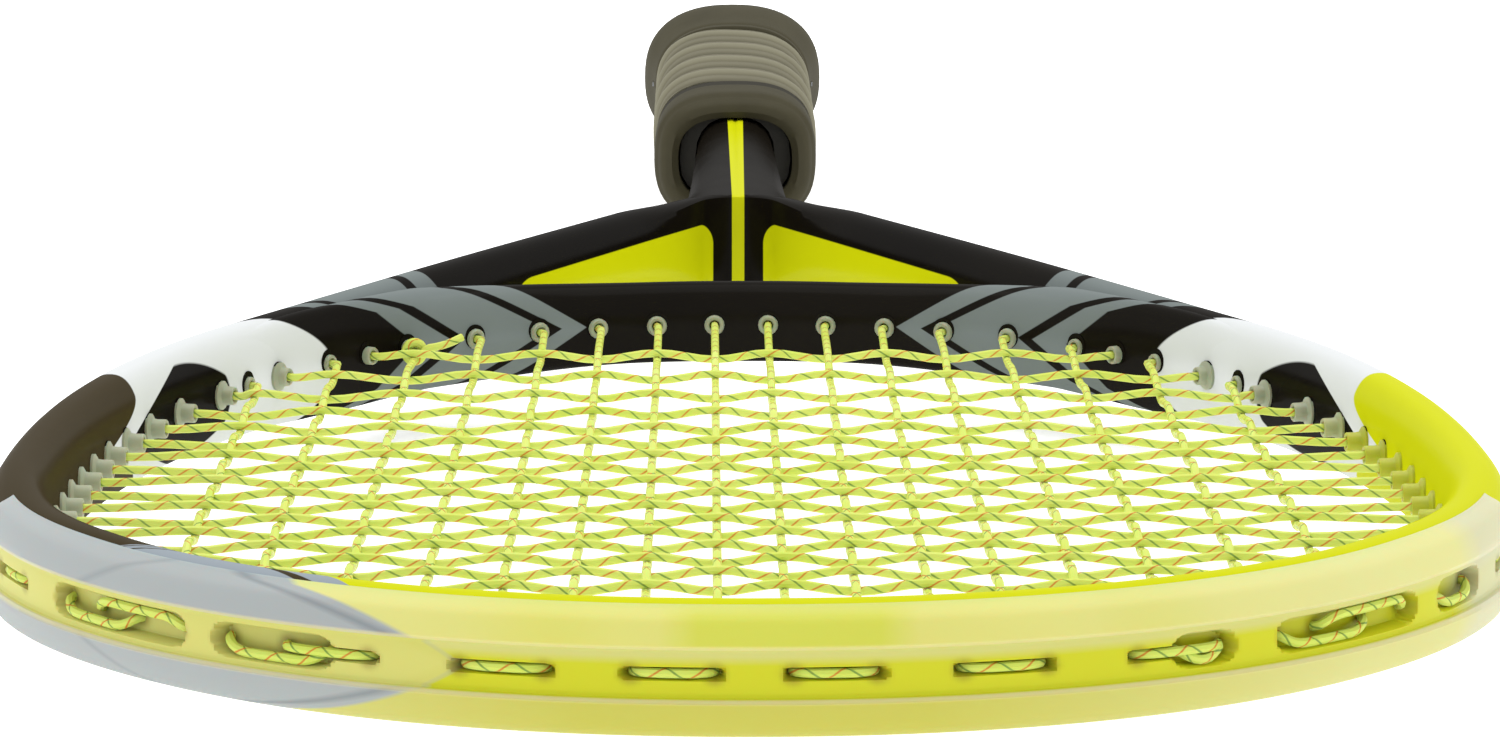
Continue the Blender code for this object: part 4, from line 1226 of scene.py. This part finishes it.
def rubbery(name, tint, roughness, grain):
    made = Finish(name, tint, roughness, coat_weight=0.15, coat_roughness=0.4)
    made.cover(made.noise(grain, 4.0).above(0.5, 0.4), tuple(part * 0.72 for part in tint), 0.5)
    made.vary("Roughness", made.noise(grain * 2, 3.0) * 0.2 + (roughness - 0.1))
    made.bump(made.noise(grain * 3, 4.0), 0.0002, 0.5)
    return made


def grip_finish():
    """Taupe cushioned tape, finely pitted, with painted shade in the seams and grooves and a
    painted highlight on the ribs.
    """
    made = rubbery("grip_tape", srgb(134, 130, 108), 0.65, 60.0)
    rise = made.attribute("rise")
    # painted shade in the sunken seams and grooves
    made.cover(rise.below(0.4, 0.6), srgb(84, 80, 66), 0.85)
    # painted highlight on the raised ribs
    made.cover(rise.above(0.8, 0.4), srgb(152, 149, 128), 0.6)
    return made.material


def steel_finish():
    made = Finish("staple_steel", srgb(170, 172, 175), 0.3, metallic=1.0)
    made.vary("Roughness", made.noise(400.0, 3.0) * 0.2 + 0.22)
    made.cover(made.noise(120.0, 3.0).above(0.5, 0.5), srgb(140, 141, 143), 0.5)
    return made.material


# ---------------------------------------------------------------- pieces

holes = string_holes()
groove_end = max(hole.s for hole in holes.values() if not hole.in_bridge) + 6.0
bumper_end = HEAD.s[np.flatnonzero(HEAD.point[:, 1] > BUMPER_END_STATION)[0]]
slots = tip_slots(holes)

frame_paint = paint("frame_paint", True)
bridge_paint = paint("bridge_paint", False)
bumper_plastic = bumper_finish()
grommet_plastic = grommet_finish()
string_gut = string_finish()
grip_tape = grip_finish()
rubber = rubbery("collar_rubber", srgb(76, 72, 54), 0.5, 140.0).material
butt_rubber = rubbery("butt_rubber", srgb(80, 76, 58), 0.5, 110.0).material
tape = rubbery("finishing_tape", srgb(52, 49, 38), 0.55, 80.0).material

wells = [well(hole) for hole in holes.values() if hole.s > FIRST_WELL_ARC]
make_piece("frame_shell", [frame_shape(groove_end)] + [shape for shape, on in wells if not on],
           frame_paint, "head_frame")
make_piece("bridge_shell", [bridge_shape()] + [shape for shape, on in wells if on],
           bridge_paint, "throat_bridge")

bumper, hole_shades = bumper_shape(slots, bumper_end)
outside = [hole for hole in holes.values() if not hole.in_bridge]
under = [barrel(hole, False) for hole in outside if hole.s < bumper_end]
bumper_piece = make_piece("bumper_lips", [bumper] + under, bumper_plastic, "bumper_guard")
store(bumper_piece, "hole_shade", hole_shades)
for side, word in ((-1, "left"), (1, "right")):
    mine = [hole for hole in outside if hole.side == side and hole.s > bumper_end]
    end = max(hole.s for hole in mine) + 4.0
    shapes = [strip_shape(bumper_end + 1.0, end, side)]
    shapes += [barrel(hole, hole.protrusion > 2.0) for hole in mine]
    make_piece(f"side_grommets_{word}", shapes, grommet_plastic, f"grommet_strip_{word}")
alone = sorted((hole for hole in holes.values() if hole.in_bridge),
               key=lambda hole: hole.side * hole.wall[0])
for count, hole in enumerate(alone, start=1):
    make_piece(f"bridge_eyelet_{count:02d}", [bridge_grommet(hole)], grommet_plastic,
               f"bridge_grommet_{count:02d}")

make_piece("woven_string", [tube(string_path(holes), STRING_RADIUS)], string_gut,
           "racket_string")
for name, node, hole, toward, turns in (
        ("knot_bridge", "tie_off_knot_bridge", holes["main", TIE_OFF_MAIN, -1, "far"], -1, 2.25),
        ("knot_tip", "tie_off_knot_tip", holes["main", TIE_OFF_MAIN, 1, "tip"], 1, 0.75)):
    make_piece(name, [tube(knot_path(hole, toward, turns), STRING_RADIUS)], string_gut,
               node)

wrap, rises = wrap_shape()
store(make_piece("spiral_grip", [wrap], grip_tape, "grip_wrap"), "rise", rises)
make_piece("grip_tape_edge", [sleeve([(COLLAR_END + 0.2, 0.7), (COLLAR_END + 0.6, 0.35),
                                      (TAPE_END - 0.3, 0.3), (TAPE_END, 0.5),
                                      (TAPE_END, 2.0), (COLLAR_END + 0.2, 2.0)])],
           tape, "grip_finishing_tape")
make_piece("collar_ring", [sleeve([(COLLAR_START, 3.6), (COLLAR_START + 0.1, 2.4),
                                   (COLLAR_START + 0.8, 1.5), (COLLAR_START + 2.0, 0.9),
                                   (COLLAR_START + 3.2, 0.75), (COLLAR_START + 3.8, 0.3),
                                   (COLLAR_START + 5.0, 0.0), (COLLAR_START + 8.0, -0.1),
                                   (COLLAR_END - 3.0, 0.0), (COLLAR_END - 0.6, 0.1),
                                   (COLLAR_END, 0.5), (COLLAR_END, 2.0),
                                   (540.0, 2.0), (528.0, 4.9), (COLLAR_START + 1.0, 4.9)])],
           rubber, "grip_collar")
make_piece("butt_cup", [butt_shape()], butt_rubber, "butt_cap")

foam = rubbery("pallet_foam", srgb(70, 68, 62), 0.8, 200.0).material
steel = steel_finish()
for node, finish in (("handle_pallet", foam), ("butt_cap_staple_left", steel),
                     ("butt_cap_staple_right", steel)):
    mesh = bpy.data.objects[node].data
    mesh.materials.clear()
    mesh.materials.append(finish)


# ---------------------------------------------------------------- studio

def camera():
    data = bpy.data.cameras.new("camera")
    data.sensor_width = 36.0
    data.lens = 155.3
    data.clip_end = 20.0
    made = link("camera", data)
    made.location = place(-5.9, -796.0, 164.5)
    made.rotation_euler = (radians(81.041), 0.0, radians(-0.388))
    bpy.context.scene.camera = made


def floor():
    mesh = bpy.data.meshes.new("floor")
    half = 12.0
    mesh.from_pydata([(-half, -half, 0), (half, -half, 0), (half, half, 0), (-half, half, 0)],
                     [], [(0, 1, 2, 3)])
    made = Finish("floor_white", (0.94, 0.94, 0.94), 0.9, emission_strength=0.4)
    made.shader.inputs["Emission Color"].default_value = (1.0, 1.0, 1.0, 1.0)
    mesh.materials.append(made.material)
    link("floor", mesh)


def softbox():
    """A large soft light over the head, aimed at the racket's middle."""
    data = bpy.data.lights.new("softbox_top", "AREA")
    data.shape = "RECTANGLE"
    data.size, data.size_y = 2.2, 1.6
    data.energy = 18.0
    made = link("softbox_top", data)
    made.location = (0.0, 0.1, 1.6)
    made.rotation_euler = (-made.location).to_track_quat("-Z", "Y").to_euler()
    made.visible_camera = False


def sky():
    world = bpy.data.worlds.new("studio")
    world.use_nodes = True
    background = world.node_tree.nodes["Background"]
    background.inputs["Color"].default_value = (1.0, 1.0, 1.0, 1.0)
    background.inputs["Strength"].default_value = 1.15
    bpy.context.scene.world = world


camera()
floor()
softbox()
sky()
bpy.context.scene.view_settings.view_transform = "Standard"
